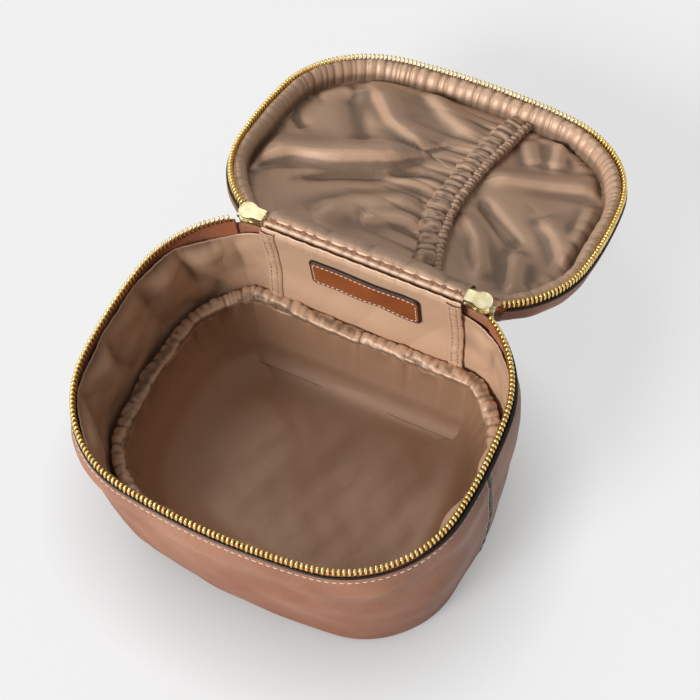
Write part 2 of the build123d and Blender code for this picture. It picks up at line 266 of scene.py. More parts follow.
zip_height = 102.0      # from the table to the middle of the closed zip
leather_face = 1.85     # outward from the rim to the outer face of the leather


def lean(z):
    """The soft base has settled a little towards the right at its foot."""
    return 6.8 * np.clip(1 - z / zip_height, 0, 1)


def wall_out(z):
    """How far the wall stands out from the rim at a height."""
    fall = 1 - np.asarray(z, float) / zip_height
    return 4.7 * np.sin(math.pi * fall) - 11.0 * fall


def wall_points(s, outward, z):
    """Points of the base's wall: s along the rim, outward from the wall's line, at height z."""
    s, outward, z = np.broadcast_arrays(s, outward, z)
    flat = on_rim(s, outward + wall_out(z))
    return np.stack([flat[..., 0] + lean(z), flat[..., 1], z], -1)


def unevenness(points, size, seed):
    """Smooth random field, mostly between -1 and 1, with lumps of about that size (mm)."""
    random = np.random.default_rng(seed)
    total, count = 0.0, 9
    for _ in range(count):
        way = random.normal(size=3)
        way *= 2 * math.pi / (size * random.uniform(0.8, 1.9) * np.linalg.norm(way))
        total = total + np.sin(points @ way + random.uniform(0, 2 * math.pi))
    return total * 0.6 / math.sqrt(count / 2)


def piece(name, points, faces, material, seam=None):
    """Mesh from points in mm; seam holds the texture place of every corner, in metres."""
    mesh = bpy.data.meshes.new(name)
    mesh.from_pydata((np.asarray(points) * MM).tolist(), [], [tuple(f) for f in faces])
    if seam is not None:
        mesh.uv_layers.new(name="cloth").data.foreach_set("uv", (np.asarray(seam) * MM).ravel())
    mesh.materials.append(material)
    mesh.shade_smooth()
    mesh.update()
    made = bpy.data.objects.new(name, mesh)
    bpy.context.collection.objects.link(made)
    return made


def grid_piece(name, points, material, around=False, tube=False, capped=False, plan=None,
               painted_crease_shade=None):
    """Piece from a grid of points. around joins its last row to the first, tube its last
    column to the first, and capped closes the two ends of a tube. plan is where each point
    lay in the flat cloth, if that isn't measured along the rows and columns; the crease mask is
    how deep each point lies in a crease, 0 to 1, kept on the mesh for the satin's painted
    shade in its creases."""
    rows, columns = points.shape[:2]
    i = np.arange(rows if around else rows - 1)
    j = np.arange(columns if tube else columns - 1)
    i, j = (a.ravel() for a in np.meshgrid(i, j, indexing="ij"))
    i2, j2 = (i + 1) % rows, (j + 1) % columns
    faces = np.stack([i * columns + j, i2 * columns + j, i2 * columns + j2, i * columns + j2], 1)
    ring = np.concatenate([points, points[:1]])
    along = np.r_[0, np.cumsum(np.linalg.norm(np.diff(ring, axis=0), axis=2).mean(1))]
    ring = np.concatenate([points, points[:, :1]], 1)
    over = np.r_[0, np.cumsum(np.linalg.norm(np.diff(ring, axis=1), axis=2).mean(0))]
    seam = np.stack([np.stack([along[i + a], over[j + b]], 1)
                     for a, b in ((0, 0), (1, 0), (1, 1), (0, 1))], 1).reshape(-1, 2)
    if plan is not None:
        seam = plan.reshape(-1, 2)[faces.ravel()]
    faces = faces.tolist()
    if capped:
        ends = [list(range(columns)), list(range((rows - 1) * columns, rows * columns))]
        faces += ends
        seam = np.r_[seam, np.zeros((2 * columns, 2))]
    made = piece(name, points.reshape(-1, 3), faces, material, seam)
    if painted_crease_shade is not None:
        creases = made.data.attributes.new("painted_crease_shade", "FLOAT", "POINT")
        creases.data.foreach_set("value", painted_crease_shade.ravel())
    form = bmesh.new()
    form.from_mesh(made.data)
    bmesh.ops.recalc_face_normals(form, faces=form.faces)
    form.to_mesh(made.data)
    form.free()
    return made


def thickened(made, thickness):
    solid = made.modifiers.new("thickness", "SOLIDIFY")
    solid.thickness, solid.offset = thickness * MM, 0.0
    return made


def filled(border_of, levels):
    """Grid of points that fills a closed outline. border_of(s) is the outline; levels are the
    shares of the way out from its middle, 0 to 1. Gives the points, their shares and how
    deep (mm) each lies inside the outline."""
    side = np.r_[-levels[:0:-1], levels]
    p, q = np.meshgrid(side, side, indexing="ij")
    share = np.maximum(np.abs(p), np.abs(q))
    p, q = p / np.maximum(share, 1e-9), q / np.maximum(share, 1e-9)
    near = 1 - 1e-6
    turn = np.where(q >= near, p, np.where(p >= near, 2 - q, np.where(q <= -near, 4 - p, 6 + q)))
    middle = border_of(np.linspace(0, rim_length, 200, endpoint=False)).mean(0)
    spoke = border_of(turn * rim_length / 8) - middle
    return middle + share[..., None] * spoke, share, (1 - share) * np.linalg.norm(spoke, axis=-1)


# Effects that several materials share
def effect(name, inputs, outputs):
    """Empty node group; inputs and outputs are {name: (type, value)}."""
    group = bpy.data.node_groups.new(name, "ShaderNodeTree")
    for way, sockets in (("INPUT", inputs), ("OUTPUT", outputs)):
        for label, (kind, value) in sockets.items():
            socket = group.interface.new_socket(label, in_out=way, socket_type="NodeSocket" + kind)
            if value is not None:
                socket.default_value = value
    given = group.nodes.new("NodeGroupInput").outputs
    return group, given, group.nodes.new("NodeGroupOutput").inputs


def give(group, result, **sockets):
    for name, socket in sockets.items():
        group.links.new(socket, result[name])


def pebble_effect():
    """Pebbled grain of soft leather with its pores, faint stretch lines and patches."""
    group, given, result = effect(
        "leather_grain",
        {"Vector": ("Vector", None), "Grain": ("Float", 900.0), "Depth": ("Float", 0.5)},
        {"Normal": ("Vector", None), "Grooves": ("Float", None), "Patches": ("Float", None)})
    wander = add(group, "ShaderNodeTexNoise", Vector=given["Vector"], Scale=260.0, Detail=2.0)
    moved = add(group, "ShaderNodeVectorMath", operation="MULTIPLY_ADD", I0=wander.outputs["Color"],
                I1=(0.0012, 0.0012, 0.0012), I2=given["Vector"]).outputs[0]
    cells = add(group, "ShaderNodeTexVoronoi", feature="DISTANCE_TO_EDGE", Vector=moved,
                Scale=given["Grain"])
    groove = spread(group, cells.outputs["Distance"], 0.0, 0.16, 1.0, 0.0)
    pores = add(group, "ShaderNodeTexNoise", Vector=given["Vector"], Scale=2600.0, Detail=2.0)
    lines = add(group, "ShaderNodeTexNoise", Vector=given["Vector"], Scale=70.0, Detail=6.0,
                Roughness=0.6, Distortion=0.6)
    height = combine(group, "MULTIPLY_ADD", groove, -0.6, pores.outputs[0])
    height = combine(group, "MULTIPLY_ADD", lines.outputs[0], 1.6, height)
    bumps = add(group, "ShaderNodeBump", Strength=given["Depth"], Distance=0.00035, Height=height)
    patches = add(group, "ShaderNodeTexNoise", Vector=given["Vector"], Scale=28.0, Detail=4.0)
    give(group, result, Normal=bumps.outputs[0], Grooves=groove, Patches=patches.outputs[0])
    return group


leather_grain = pebble_effect()


def leather_look(name, light, dark, foot, depth=0.45, roughness=0.5):
    """Pigmented leather: light on the grain, dark in the grooves, and darker and warmer near the
    foot, which is painted shade.
    """
    material, tree, shader = new_material(name, Roughness=roughness, Specular_IOR_Level=0.3)
    coordinates = own_coordinates(tree)
    grain = add(tree, "ShaderNodeGroup", node_tree=leather_grain, Vector=coordinates, Depth=depth)
    tone = blend_colours(tree, spread(tree, grain.outputs["Patches"], 0.35, 0.68), light, dark)
    height = add(tree, "ShaderNodeSeparateXYZ", I0=coordinates).outputs[2]
    # Painted shade: the leather turns darker and warmer towards the foot of the wall.
    low = spread(tree, height, 0.01, 0.08, 0.9, 0.0)
    tone = blend_colours(tree, low, tone, foot)
    deep = combine(tree, "MULTIPLY", grain.outputs["Grooves"], 0.32)
    tone = blend_colours(tree, deep, tone, colour(78, 46, 30))
    tree.links.new(tone, shader.inputs["Base Color"])
    gloss = spread(tree, grain.outputs["Patches"], 0.3, 0.7, roughness - 0.07, roughness + 0.08)
    tree.links.new(gloss, shader.inputs["Roughness"])
    tree.links.new(grain.outputs["Normal"], shader.inputs["Normal"])
    return material


def paint_look():
    """Black edge paint, slightly glossy and rubbed, with brown showing through in places."""
    material, tree, shader = new_material("edge_paint", Roughness=0.42, Specular_IOR_Level=0.4)
    coordinates = own_coordinates(tree)
    rub = add(tree, "ShaderNodeTexNoise", Vector=coordinates, Scale=420.0, Detail=5.0)
    tone = blend_colours(tree, spread(tree, rub.outputs[0], 0.62, 0.74), colour(30, 22, 19),
                         colour(84, 52, 36))
    finish_look(tree, shader, tone, rub.outputs[0], 0.35, 0.0002)
    return material


def thread_look(name, tone):
    """Twisted sewing thread."""
    material, tree, shader = new_material(name, Roughness=0.6, Specular_IOR_Level=0.3,
                                          Sheen_Weight=0.2)
    twist = add(tree, "ShaderNodeTexWave", Vector=own_coordinates(tree, (1, 1, 1.4)), Scale=900.0,
                Distortion=1.0)
    shade = blend_colours(tree, twist.outputs[1], tone, shaded(tone, 0.78))
    finish_look(tree, shader, shade, twist.outputs[1], 0.4, 0.0001)
    return material


# The third colour of a leather is the painted shade near the foot.
leather = leather_look("leather", colour(168, 116, 88), colour(140, 92, 67),
                       colour(130, 74, 42), 0.55, 0.45)
edge_paint = paint_look()
pale_thread = thread_look("pale_thread", colour(232, 216, 200))

right_seam = rim_at(95.5, -4.0)
left_seam = rim_length - right_seam
slider_middle, fold_end = 61.3, 51.0


def notch(s):
    """1 beside a slider, where the leather's edge is cut back to let it pass."""
    return 1 - smooth(7.5, 9.8, np.abs(from_back(s) - slider_middle))


def leather_top(s):
    """Height of the leather's edge: lower beside the sliders, higher along the hinge."""
    climb = 1 - smooth(fold_end, fold_end + 2.0, from_back(s))
    return 96.6 - 2.6 * notch(s) * (1 - climb) + 2.8 * climb


def soft_dents(points):
    """The wall is not stiff: shallow dents, and one roll just below the edge in front."""
    height = points[..., 2]
    free = smooth(0, 12, height) * (1 - smooth(84, 96, height))
    front = smooth(10, -40, points[..., 1])
    drawn = points * (0.45, 0.45, 1.0)
    return (1.0 * unevenness(points, 46, 3) + 0.45 * unevenness(drawn, 11, 4)) * free + (
        1.3 * bump(height, 84, 7) - 1.1 * bump(height, 70, 8)) * front


def dented(points, s):
    """Points of the wall at distances s along the rim, moved by its dents."""
    side = on_rim(s, 1.0) - on_rim(s, 0.0)
    points[..., :2] += side * soft_dents(points)[..., None]
    return points


def leather_band(name, start, end, rows, nodes):
    s = np.linspace(start, end, rows)[:, None]
    top = leather_top(s)
    foot = 4.2
    rise = np.array([0.35, 0.8, 1.6, 2.6, 3.6, 5, 8, 12, 17, 23, 30, 37, 44, 51, 58, 65, 71, 77,
                     82, 86, 90, 93, 95.2, 96.2])
    outer_z = rise[None, :] * (top - 0.2) / 96.2
    rounding = foot - np.sqrt(np.maximum(foot**2 - np.maximum(foot - outer_z, 0)**2, 0))
    outer = wall_points(s, leather_face - rounding, outer_z)
    over = wall_points(s, np.array([[1.45, 1.15, 0.8]]), top + np.array([[0.1, 0.16, 0.0]]))
    inner_z = outer_z[:, ::-1][:, 1:]
    rounding = rounding[:, ::-1][:, 1:]
    inner = wall_points(s, 0.5 - rounding, np.maximum(inner_z, 1.6))
    points = dented(np.concatenate([outer, over, inner], 1), s)
    made = grid_piece(name, points, leather, tube=True, capped=True)
    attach(made, "base")
    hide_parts(*nodes)


leather_band("base_front_leather", right_seam + 0.15, left_seam - 0.15, 420,
             ["base_front_band"])
leather_band("base_back_leather", left_seam + 0.15, rim_length + right_seam - 0.15, 360,
             ["base_back_band"])

# Bottom panel: a flat sheet of the same leather, softly rounded where it meets the walls
levels = np.r_[np.linspace(0, 0.9, 16), 0.95, 0.965, 0.98, 0.99, 1.0]
low, share, deep = filled(lambda s: wall_points(s, -1.9, 0.0), levels)
low[..., 2] = 0.6 + 0.7 * smooth(0.965, 1.0, share)
bottom_panel = grid_piece("base_bottom_leather", low, leather, plan=low[..., :2])
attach(thickened(bottom_panel, 1.0), "base")
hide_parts("base_bottom_panel")


def tube_along(path, sideways, upward, half_width, half_height, corners=10):
    """Grid of points round a path: an oval with its own half width and half height."""
    turn = np.linspace(0, 2 * math.pi, corners, endpoint=False)
    return path[:, None] + (np.cos(turn)[None, :, None] * half_width * sideways[:, None]
                            + np.sin(turn)[None, :, None] * half_height * upward[:, None])


def rim_tube(path, s, half_width, half_height, corners=10):
    """The same round a path that follows the rim."""
    return tube_along(path, facing_out(s), repeated((0, 0, 1), len(s)), half_width,
                      half_height, corners)


# Painted edge: a rounded black bead on the cut edge, broader where the leather gapes
notch_edge = slider_middle + 9.5
s = np.arange(notch_edge, rim_length - notch_edge, 0.9)
gape = 0.45 * smooth(40, 80, s - notch_edge + 30) * (
    1 - smooth(right_seam + 20, right_seam + 60, s))
edge = leather_top(s) + 0.15 + 0.15 * unevenness(wall_points(s, 0, 97), 30, 5)
bead = rim_tube(wall_points(s, 1.2 + gape, edge), s, (0.7 + gape)[:, None, None], 0.6)
base_edge = grid_piece("base_painted_edge", bead, edge_paint, tube=True, capped=True)
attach(base_edge, "base")


def barrel_faces(first, slices, corners):
    """Faces of one small closed solid made of slices, from its first point on."""
    faces = []
    for i in range(slices - 1):
        for j in range(corners):
            k = (j + 1) % corners
            faces.append([first + i * corners + j, first + i * corners + k,
                          first + (i + 1) * corners + k, first + (i + 1) * corners + j])
    faces.append([first + j for j in range(corners)][::-1])
    faces.append([first + (slices - 1) * corners + j for j in range(corners)])
    return faces


def stitches(name, path, outward, material, body, pitch=3.3, length=2.3, thickness=0.5):
    """Running stitches along a path: short threads that dip into the leather at both ends."""
    reach = path_reach(path)
    starts = np.arange(pitch / 2, reach[-1] - length, pitch)
    share = np.array([0.0, 0.12, 0.35, 0.65, 0.88, 1.0])
    lift = np.array([-0.35, 0.12, 0.3, 0.3, 0.12, -0.35]) * thickness
    corners = 6
    points, faces = [], []
    for start in starts:
        at = start + share * length
        line, side = between(at, reach, path), between(at, reach, outward)
        side /= np.linalg.norm(side, axis=1)[:, None]
        line = line + side * lift[:, None]
        forward = line[-1] - line[0]
        forward /= np.linalg.norm(forward)
        cross = np.cross(forward, side)
        radius = thickness / 2 * np.array([0.55, 0.9, 1, 1, 0.9, 0.55])[:, None, None]
        ring = tube_along(line, cross, side, radius, radius, corners)
        faces += barrel_faces(len(points) * len(share) * corners, len(share), corners)
        points.append(ring.reshape(-1, 3))
    made = piece(name, np.concatenate(points), faces, material)
    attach(made, body)


# The thread runs just below the edge, all round the front
s = np.arange(notch_edge + 4, rim_length - notch_edge - 4, 0.8)
path = dented(wall_points(s, leather_face, leather_top(s) - 2.3), s)
stitches("base_edge_thread", path, facing_out(s), pale_thread, "base")

# Side seams: the bands are butted on a painted edge, with a row of stitches on each side
for side_name, seam_at in (("right", right_seam), ("left", left_seam)):
    z = np.linspace(3, 95.6, 60)
    seam_s = np.full(60, seam_at)
    outward = facing_out(seam_s)
    path = dented(wall_points(seam_s, 1.75, z), seam_s)
    along = np.cross(outward, (0, 0, 1))
    rib = grid_piece("base_" + side_name + "_seam_edge",
                     tube_along(path, along, outward, 1.35, 0.75), edge_paint,
                     tube=True, capped=True)
    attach(rib, "base")
    for step in (-2.6, 2.6):
        path = dented(wall_points(seam_s + step, leather_face, z), seam_s)
        row = "front" if (step > 0) == (side_name == "right") else "back"
        stitches("base_" + side_name + "_seam_" + row + "_thread", path, outward,
                 pale_thread, "base")

# Zip of the base ------------------------------------------------------------------
# Brass teeth clamped on a rust-brown herringbone tape, whose bare edge shows inside.


def cloth_place(tree):
    """Place on the flat cloth in metres: along it and across it."""
    place = add(tree, "ShaderNodeUVMap", uv_map="cloth").outputs[0]
    return add(tree, "ShaderNodeSeparateXYZ", I0=place).outputs[:2]


def herringbone_look():
    """Woven zip tape: fine ribs that slant one way and the other in narrow columns."""
    material, tree, shader = new_material("zip_cloth", Roughness=0.8, Specular_IOR_Level=0.15,
                                          Sheen_Weight=0.25)
    along, over = cloth_place(tree)
    slant = combine(tree, "ADD", along, combine(tree, "PINGPONG", over, 0.0016))
    rib = combine(tree, "SINE", combine(tree, "MULTIPLY", slant, 2 * math.pi / 0.0011))
    rib = combine(tree, "MULTIPLY_ADD", rib, 0.5, 0.5)
    worn = add(tree, "ShaderNodeTexNoise", Vector=own_coordinates(tree), Scale=160.0, Detail=4.0)
    tone = blend_colours(tree, rib, colour(122, 56, 22), colour(194, 108, 56))
    tone = blend_colours(tree, spread(tree, worn.outputs[0], 0.4, 0.7, 0.0, 0.4), tone,
                         colour(140, 72, 34))
    finish_look(tree, shader, tone, rib, 0.6, 0.0002)
    return material


def brass_look():
    """Polished brass, patchy in tone and finely scratched."""
    material, tree, shader = new_material("teeth_brass", Metallic=1.0, Roughness=0.3)
    coordinates = own_coordinates(tree)
    stain = add(tree, "ShaderNodeTexNoise", Vector=coordinates, Scale=330.0, Detail=4.0)
    tone = blend_colours(tree, spread(tree, stain.outputs[0], 0.42, 0.78), colour(250, 224, 150),
                         colour(216, 172, 88))
    tree.links.new(spread(tree, stain.outputs[0], 0.3, 0.7, 0.2, 0.42), shader.inputs["Roughness"])
    scratch = add(tree, "ShaderNodeTexNoise", Vector=own_coordinates(tree, (1, 1, 6)), Scale=1500.0)
    finish_look(tree, shader, tone, scratch.outputs[0], 0.25, 0.0001)
    return material


zip_cloth = herringbone_look()
brass = brass_look()


def zip_sway(points):
    """The zip is soft: its line rises and falls a little between the corners."""
    return 0.45 * unevenness(points, 55, 8)


tape_end = 66.4
s = np.linspace(tape_end, rim_length - tape_end, 520)[:, None]
tape_z = np.array([[98.6, 97.2, 95.5, 93.5, 91.0, 88.5, 86.2]])
tape_points = dented(wall_points(s, 0.0, tape_z), s)
tape_points[..., 2] += zip_sway(wall_points(s, 0, 100)) * smooth(88, 97, tape_z)
base_tape = thickened(grid_piece("base_zip_cloth", tape_points, zip_cloth), 0.6)
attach(base_tape, "base")
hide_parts("base_zip_tape")


def tooth_grid():
    """One tooth: legs that clamp the tape and a narrower head, across x and up y; rows are
    slices along the rim, so that its edges are rounded."""
    outline = np.array([(-1.3, -2.0), (-0.5, -2.15), (0.5, -2.15), (1.3, -2.0), (1.38, -0.6),
                        (1.3, 0.7), (0.95, 1.25), (0.8, 1.85), (0.3, 2.0), (-0.3, 2.0),
                        (-0.8, 1.85), (-0.95, 1.25), (-1.3, 0.7), (-1.38, -0.6)])
    slices = []
    for along, size in ((-0.6, 0.72), (-0.47, 0.94), (-0.2, 1.0), (0.2, 1.0), (0.47, 0.94),
                        (0.6, 0.72)):
        slices.append(np.c_[outline[:, 0] * size, np.full(len(outline), along),
                            outline[:, 1] * (0.5 + size / 2)])
    return np.array(slices)


def teeth_row(name, places, body, node):
    """All teeth of a row as one piece; places are (centre, across, along, up) in mm."""
    shape = tooth_grid()
    slices, corners = shape.shape[:2]
    points, faces = [], []
    for centre, across_way, along_way, up_way in places:
        faces += barrel_faces(len(points) * slices * corners, slices, corners)
        points.append((centre + shape[..., :1] * across_way + shape[..., 1:2] * along_way
                       + shape[..., 2:] * up_way).reshape(-1, 3))
    made = piece(name, np.concatenate(points), faces, brass)
    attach(made, body)
    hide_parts(node)


tooth_pitch, row_end = 2.28, 67.6


def tooth_places(shift, height, turn):
    """Where the teeth stand: upright on the base's row, hanging on the lid's."""
    random = np.random.default_rng(11 + int(shift * 2))
    found = []
    for s in np.arange(row_end + 0.6 + shift * tooth_pitch, rim_length - row_end, tooth_pitch):
        flat, side = on_rim(s), on_rim(s, 1.0) - on_rim(s)
        skew = random.normal(0, 0.05)
        across_way = np.array([side[0], side[1], skew])
        across_way /= np.linalg.norm(across_way)
        along_way = np.array([side[1], -side[0], 0.0])
        up_way = np.cross(along_way, across_way)
        up_way *= np.sign(up_way[2]) * turn
        found.append([np.array([*flat, height]), across_way, along_way, up_way])
    return found


places = tooth_places(0.0, 99.9, 1)
for place in places:
    place[0][2] += zip_sway(place[0][None])[0]
teeth_row("base_teeth", places, "base", "base_zip_teeth")

# Lining of the base ----------------------------------------------------------------
# Soft brown satin, sewn in loosely: it hangs in large upright folds from the zip.


def twill_effect():
    """Satin weave: fine slanting ridges, thread by thread, with slubs and faint creases."""
    group, given, result = effect(
        "satin_weave", {"Along": ("Float", 0.0), "Across": ("Float", 0.0),
                        "Vector": ("Vector", None), "Depth": ("Float", 0.3)},
        {"Normal": ("Vector", None), "Thread": ("Float", None), "Slubs": ("Float", None)})
    ridge = combine(group, "MULTIPLY_ADD", given["Across"], 2.2, given["Along"])
    ridge = combine(group, "SINE", combine(group, "MULTIPLY", ridge, 2 * math.pi / 0.00115))
    weft = combine(group, "SINE", combine(group, "MULTIPLY", given["Across"], 2 * math.pi / 0.0005))
    thread = combine(group, "MULTIPLY_ADD", ridge, 0.32, 0.5)
    thread = combine(group, "MULTIPLY_ADD", weft, 0.14, thread)
    slubs = add(group, "ShaderNodeTexNoise", Scale=1.0, Detail=3.0, Vector=add(
        group, "ShaderNodeCombineXYZ", I0=combine(group, "MULTIPLY", given["Along"], 260.0),
        I1=combine(group, "MULTIPLY", given["Across"], 2400.0)).outputs[0])
    crease = add(group, "ShaderNodeTexNoise", Vector=given["Vector"], Scale=75.0, Detail=3.0,
                 Roughness=0.5, Distortion=0.8)
    height = combine(group, "MULTIPLY_ADD", thread, 0.12, crease.outputs[0])
    height = combine(group, "MULTIPLY_ADD", slubs.outputs[0], 0.1, height)
    bumps = add(group, "ShaderNodeBump", Strength=given["Depth"], Distance=0.0009, Height=height)
    give(group, result, Normal=bumps.outputs[0], Thread=thread, Slubs=slubs.outputs[0])
    return group


satin_weave = twill_effect()


def hollows(raised, reach=5, deep=1.0):
    """How far each point lies below its neighbours at a reach of some rows and columns, 0 to 1."""
    total = 0.0
    for axis in (0, 1):
        at = np.arange(raised.shape[axis])
        sides = [np.take(raised, np.clip(at + step, 0, at[-1]), axis) for step in (-reach, reach)]
        total = total + np.clip((sum(sides) / 2 - raised) / deep, 0, 1)
    return np.clip(total, 0, 1)


def satin_look(name, tone, depth=0.35):
    """Brown satin with a soft sheen, and painted sheen on the weave: lighter on the threads that
    face the eye, darker between them. Creases get painted shade.
    """
    material, tree, shader = new_material(name, Roughness=0.42, Specular_IOR_Level=0.5,
                                          Metallic=0.15, Sheen_Weight=0.15, Sheen_Roughness=0.4)
    shader.inputs["Sheen Tint"].default_value = colour(236, 206, 176)
    along, over = cloth_place(tree)
    weave = add(tree, "ShaderNodeGroup", node_tree=satin_weave, Along=along, Across=over,
                Vector=own_coordinates(tree), Depth=depth)
    # Painted sheen: the threads get a lit and a shaded copy of the tone.
    shade = blend_colours(tree, weave.outputs["Thread"], shaded(tone, 0.62), shaded(tone, 1.28))
    shade = blend_colours(tree, spread(tree, weave.outputs["Slubs"], 0.35, 0.7, 0.0, 0.22), shade,
                          shaded(tone, 0.72))
    # Painted shade in the creases: the mesh's crease mask darkens the tone.
    crease = add(tree, "ShaderNodeAttribute", attribute_name="painted_crease_shade").outputs["Fac"]
    shade = blend_colours(tree, combine(tree, "MULTIPLY", crease, 0.75), shade, shaded(tone, 0.22))
    tree.links.new(shade, shader.inputs["Base Color"])
    tree.links.new(weave.outputs["Normal"], shader.inputs["Normal"])
    return material


satin = satin_look("satin", colour(200, 163, 134))
# A darker copy of the same satin for the pocket and floor low in the base: painted shade of the
# well.
shade_painted_satin = satin_look("satin_painted_shade", colour(172, 133, 104))


def marks_to_folds(s, marks, seed, sharp):
    """Puffs between pinches at given distances: 0 at a mark, up to 1 between two."""
    marks = np.sort(np.asarray(marks, float))
    marks = np.r_[marks[-1] - rim_length, marks, marks[0] + rim_length]
    random = np.random.default_rng(seed)
    tall = random.uniform(0.3, 1.15, len(marks))
    skew = random.uniform(-0.7, 0.7, len(marks))
    at = np.clip(np.searchsorted(marks, s % rim_length) - 1, 0, len(marks) - 2)
    share = (s % rim_length - marks[at]) / (marks[at + 1] - marks[at])
    share = share + skew[at] * share * (1 - share)
    wide = np.clip((marks[at + 1] - marks[at]) / 18, 0.35, 1.15)
    return tall[at] * wide * np.sin(math.pi * share) ** sharp


def squared(wave, power):
    """A sine or cosine with flatter sides, for an oval that is nearly a box."""
    return np.sign(wave) * np.abs(wave) ** power


def gathers(s, pitch, seed):
    """Puckers of gathered cloth: uneven little puffs, 0 in a pinch and about 1 on a puff."""
    random = np.random.default_rng(seed)
    marks = np.cumsum(random.uniform(0.5, 1.5, int((s.max() - s.min()) / pitch * 1.4) + 6)) * pitch
    marks = np.r_[0, marks] + s.min()
    at = np.clip(np.searchsorted(marks, s) - 1, 0, len(marks) - 2)
    share = np.clip((s - marks[at]) / (marks[at + 1] - marks[at]), 0, 1)
    tall = random.uniform(0.6, 1.1, len(marks))[at]
    return tall * np.sqrt((marks[at + 1] - marks[at]) / pitch) * np.sin(math.pi * share) ** 0.7


# Where the satin is caught at the zip, all the way round from the back left corner
pinches = [rim_at(x, y) for x, y in (
    (-67, 62), (-87, 43), (-93, 16), (-93, -14), (-86, -42), (-66, -65), (-40, -75), (-8, -80),
    (34, -77), (62, -67), (87, -40), (94, -2), (88, 34), (70, 60), (40, 70), (0, 70), (-40, 70))]


def lining_top(s):
    """The satin stops short of the teeth, and lower still near the back corners."""
    left_dip = bump(s, rim_at(-71, 63), 24)
    right_dip = bump(s, rim_at(71, 63), 30)
    return 96.0 - 8.0 * left_dip - 10.0 * right_dip


def lining_points(s, share):
    """Satin wall: share runs from the top edge (0) to the floor (1)."""
    top = lining_top(s)
    z = top + (9.0 - top) * share
    from_middle = from_back(s)
    loose = smooth(54, 70, from_middle)
    slanted = s + 16 * share * np.sin(s / 47 + 0.8)
    fold = marks_to_folds(slanted, pinches, 21, 1.1) * (0.2 + 0.8 * smooth(0, 0.14, share)) * (
        1 - 0.85 * smooth(0.2, 0.5, share))
    fine = gathers(s, 5.5, 22) * bump(share, 0.0, 0.1)
    by_strip = (0.9 * smooth(0, 0.1, share) + 2.4 * (1 - smooth(56, 72, z))) * (
        1 - smooth(60, 84, from_middle))
    points = wall_points(s, -1.0 - by_strip - (0.35 * fine + 4.6 * fold) * loose, z)
    side = on_rim(s, 1.0) - on_rim(s, 0.0)
    drape = 1.7 * unevenness(points * (1, 1, 0.55), 34, 23) + 0.5 * unevenness(points, 15, 24)
    points[..., :2] -= side * ((np.abs(drape) + 0.3) * smooth(0.02, 0.15, share) * loose)[..., None]
    points[..., :2] += side * np.minimum(soft_dents(points), 0)[..., None]
    return points


s, share = np.meshgrid(np.linspace(0, rim_length, 1000, endpoint=False),
                       np.r_[0, 0.008, 0.02, np.linspace(0.035, 0.62, 34), np.linspace(0.66, 1, 8)],
                       indexing="ij")
points = lining_points(s, share)
inward = np.linalg.norm(wall_points(s, 0.0, points[..., 2])[..., :2] - points[..., :2], axis=-1)
lining = thickened(grid_piece("base_satin_wall", points, satin, around=True,
                              painted_crease_shade=hollows(inward, 7, 3.2)), 0.35)
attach(lining, "base")
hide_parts("base_wall_lining")

# Rolled top edge of the satin, where it is turned in and sewn down
s = np.linspace(0, rim_length, 1000, endpoint=False)
path = lining_points(s[:, None], np.array([[0.004]]))[:, 0]
satin_edge = grid_piece("base_satin_edge", rim_tube(path, s, 0.45, 0.6, 8), satin, around=True,
                        tube=True)
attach(satin_edge, "base")

# Stiff board in the wall and board in the bottom, hidden between leather and satin
board_paper, tree, shader = new_material("board", Roughness=0.85, Specular_IOR_Level=0.1)
fibres = add(tree, "ShaderNodeTexNoise", Vector=own_coordinates(tree), Scale=500.0, Detail=6.0)
finish_look(tree, shader, blend_colours(tree, fibres.outputs[0], colour(150, 128, 100),
                                        colour(196, 178, 150)))
s = np.linspace(0, rim_length, 240, endpoint=False)[:, None]
z = np.array([[84.5, 70, 55, 40, 25, 12, 5, 5, 12, 25, 40, 55, 70, 84.5]])
outward = np.array([[0.0] * 7 + [-0.5] * 7])
points = dented(wall_points(s, outward, z), s)
wall_board = grid_piece("base_wall_board", points, board_paper, around=True, tube=True)
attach(wall_board, "base")
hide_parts("base_wall_stiffener")


def drawn_in(border, shares):
    """Sheet that fills a closed border, as rings at shares of the way out from its middle."""
    centre = border.mean(0)
    return centre + (border[:, None] - centre) * np.asarray(shares)[None, :, None]


def slab(sheet, rise):
    """Grid round both faces of a board: a sheet and the same sheet at a rise (mm)."""
    return np.concatenate([sheet, sheet[:, ::-1] + (0, 0, rise)], 1)


s = np.linspace(0, rim_length, 300, endpoint=False)
sheet = drawn_in(wall_points(s, -3.5, 4.0), [1, 0.9, 0.6, 0.3, 0.02])
floor_board = grid_piece("base_floor_board", slab(sheet, -1.9), board_paper, around=True,
                         tube=True)
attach(floor_board, "base")
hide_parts("base_bottom_board")

# Pocket of the base ------------------------------------------------------------------
# A satin pocket runs all round inside; elastic in its casing gathers the mouth, and the
# cloth below it curves down to the floor.


def bowl_height(inside):
    """Height at which the cloth curves down to the floor, by how far inside it lies (mm)."""
    return 9.0 + 14.2 * np.exp(-inside / 7.0)


s, share = np.meshgrid(np.linspace(0, rim_length, 900, endpoint=False), np.linspace(0, 1, 34),
                       indexing="ij")
inside = np.linspace(0, 8, 9)
bowl = bowl_height(inside)
slope = np.array([(-10.6, 46.0), (-10.3, 42.5), (-10.2, 39), (-10.3, 35.5), (-10.9, 31.5),
                  (-12.0, 27.3)] + list(zip(-19.1 - inside - wall_out(bowl), bowl)))
knots = np.linspace(0, 1, len(slope))
outward = np.interp(share, knots, slope[:, 0])
z = np.interp(share, knots, slope[:, 1])
slack = np.exp(-3.2 * share) * smooth(0, 0.06, share) * (1 - smooth(0.4, 0.62, share))
puff = 1.5 * slack * (gathers(s, 14.0, 31) - 0.6)
points = wall_points(s, outward + puff, z)
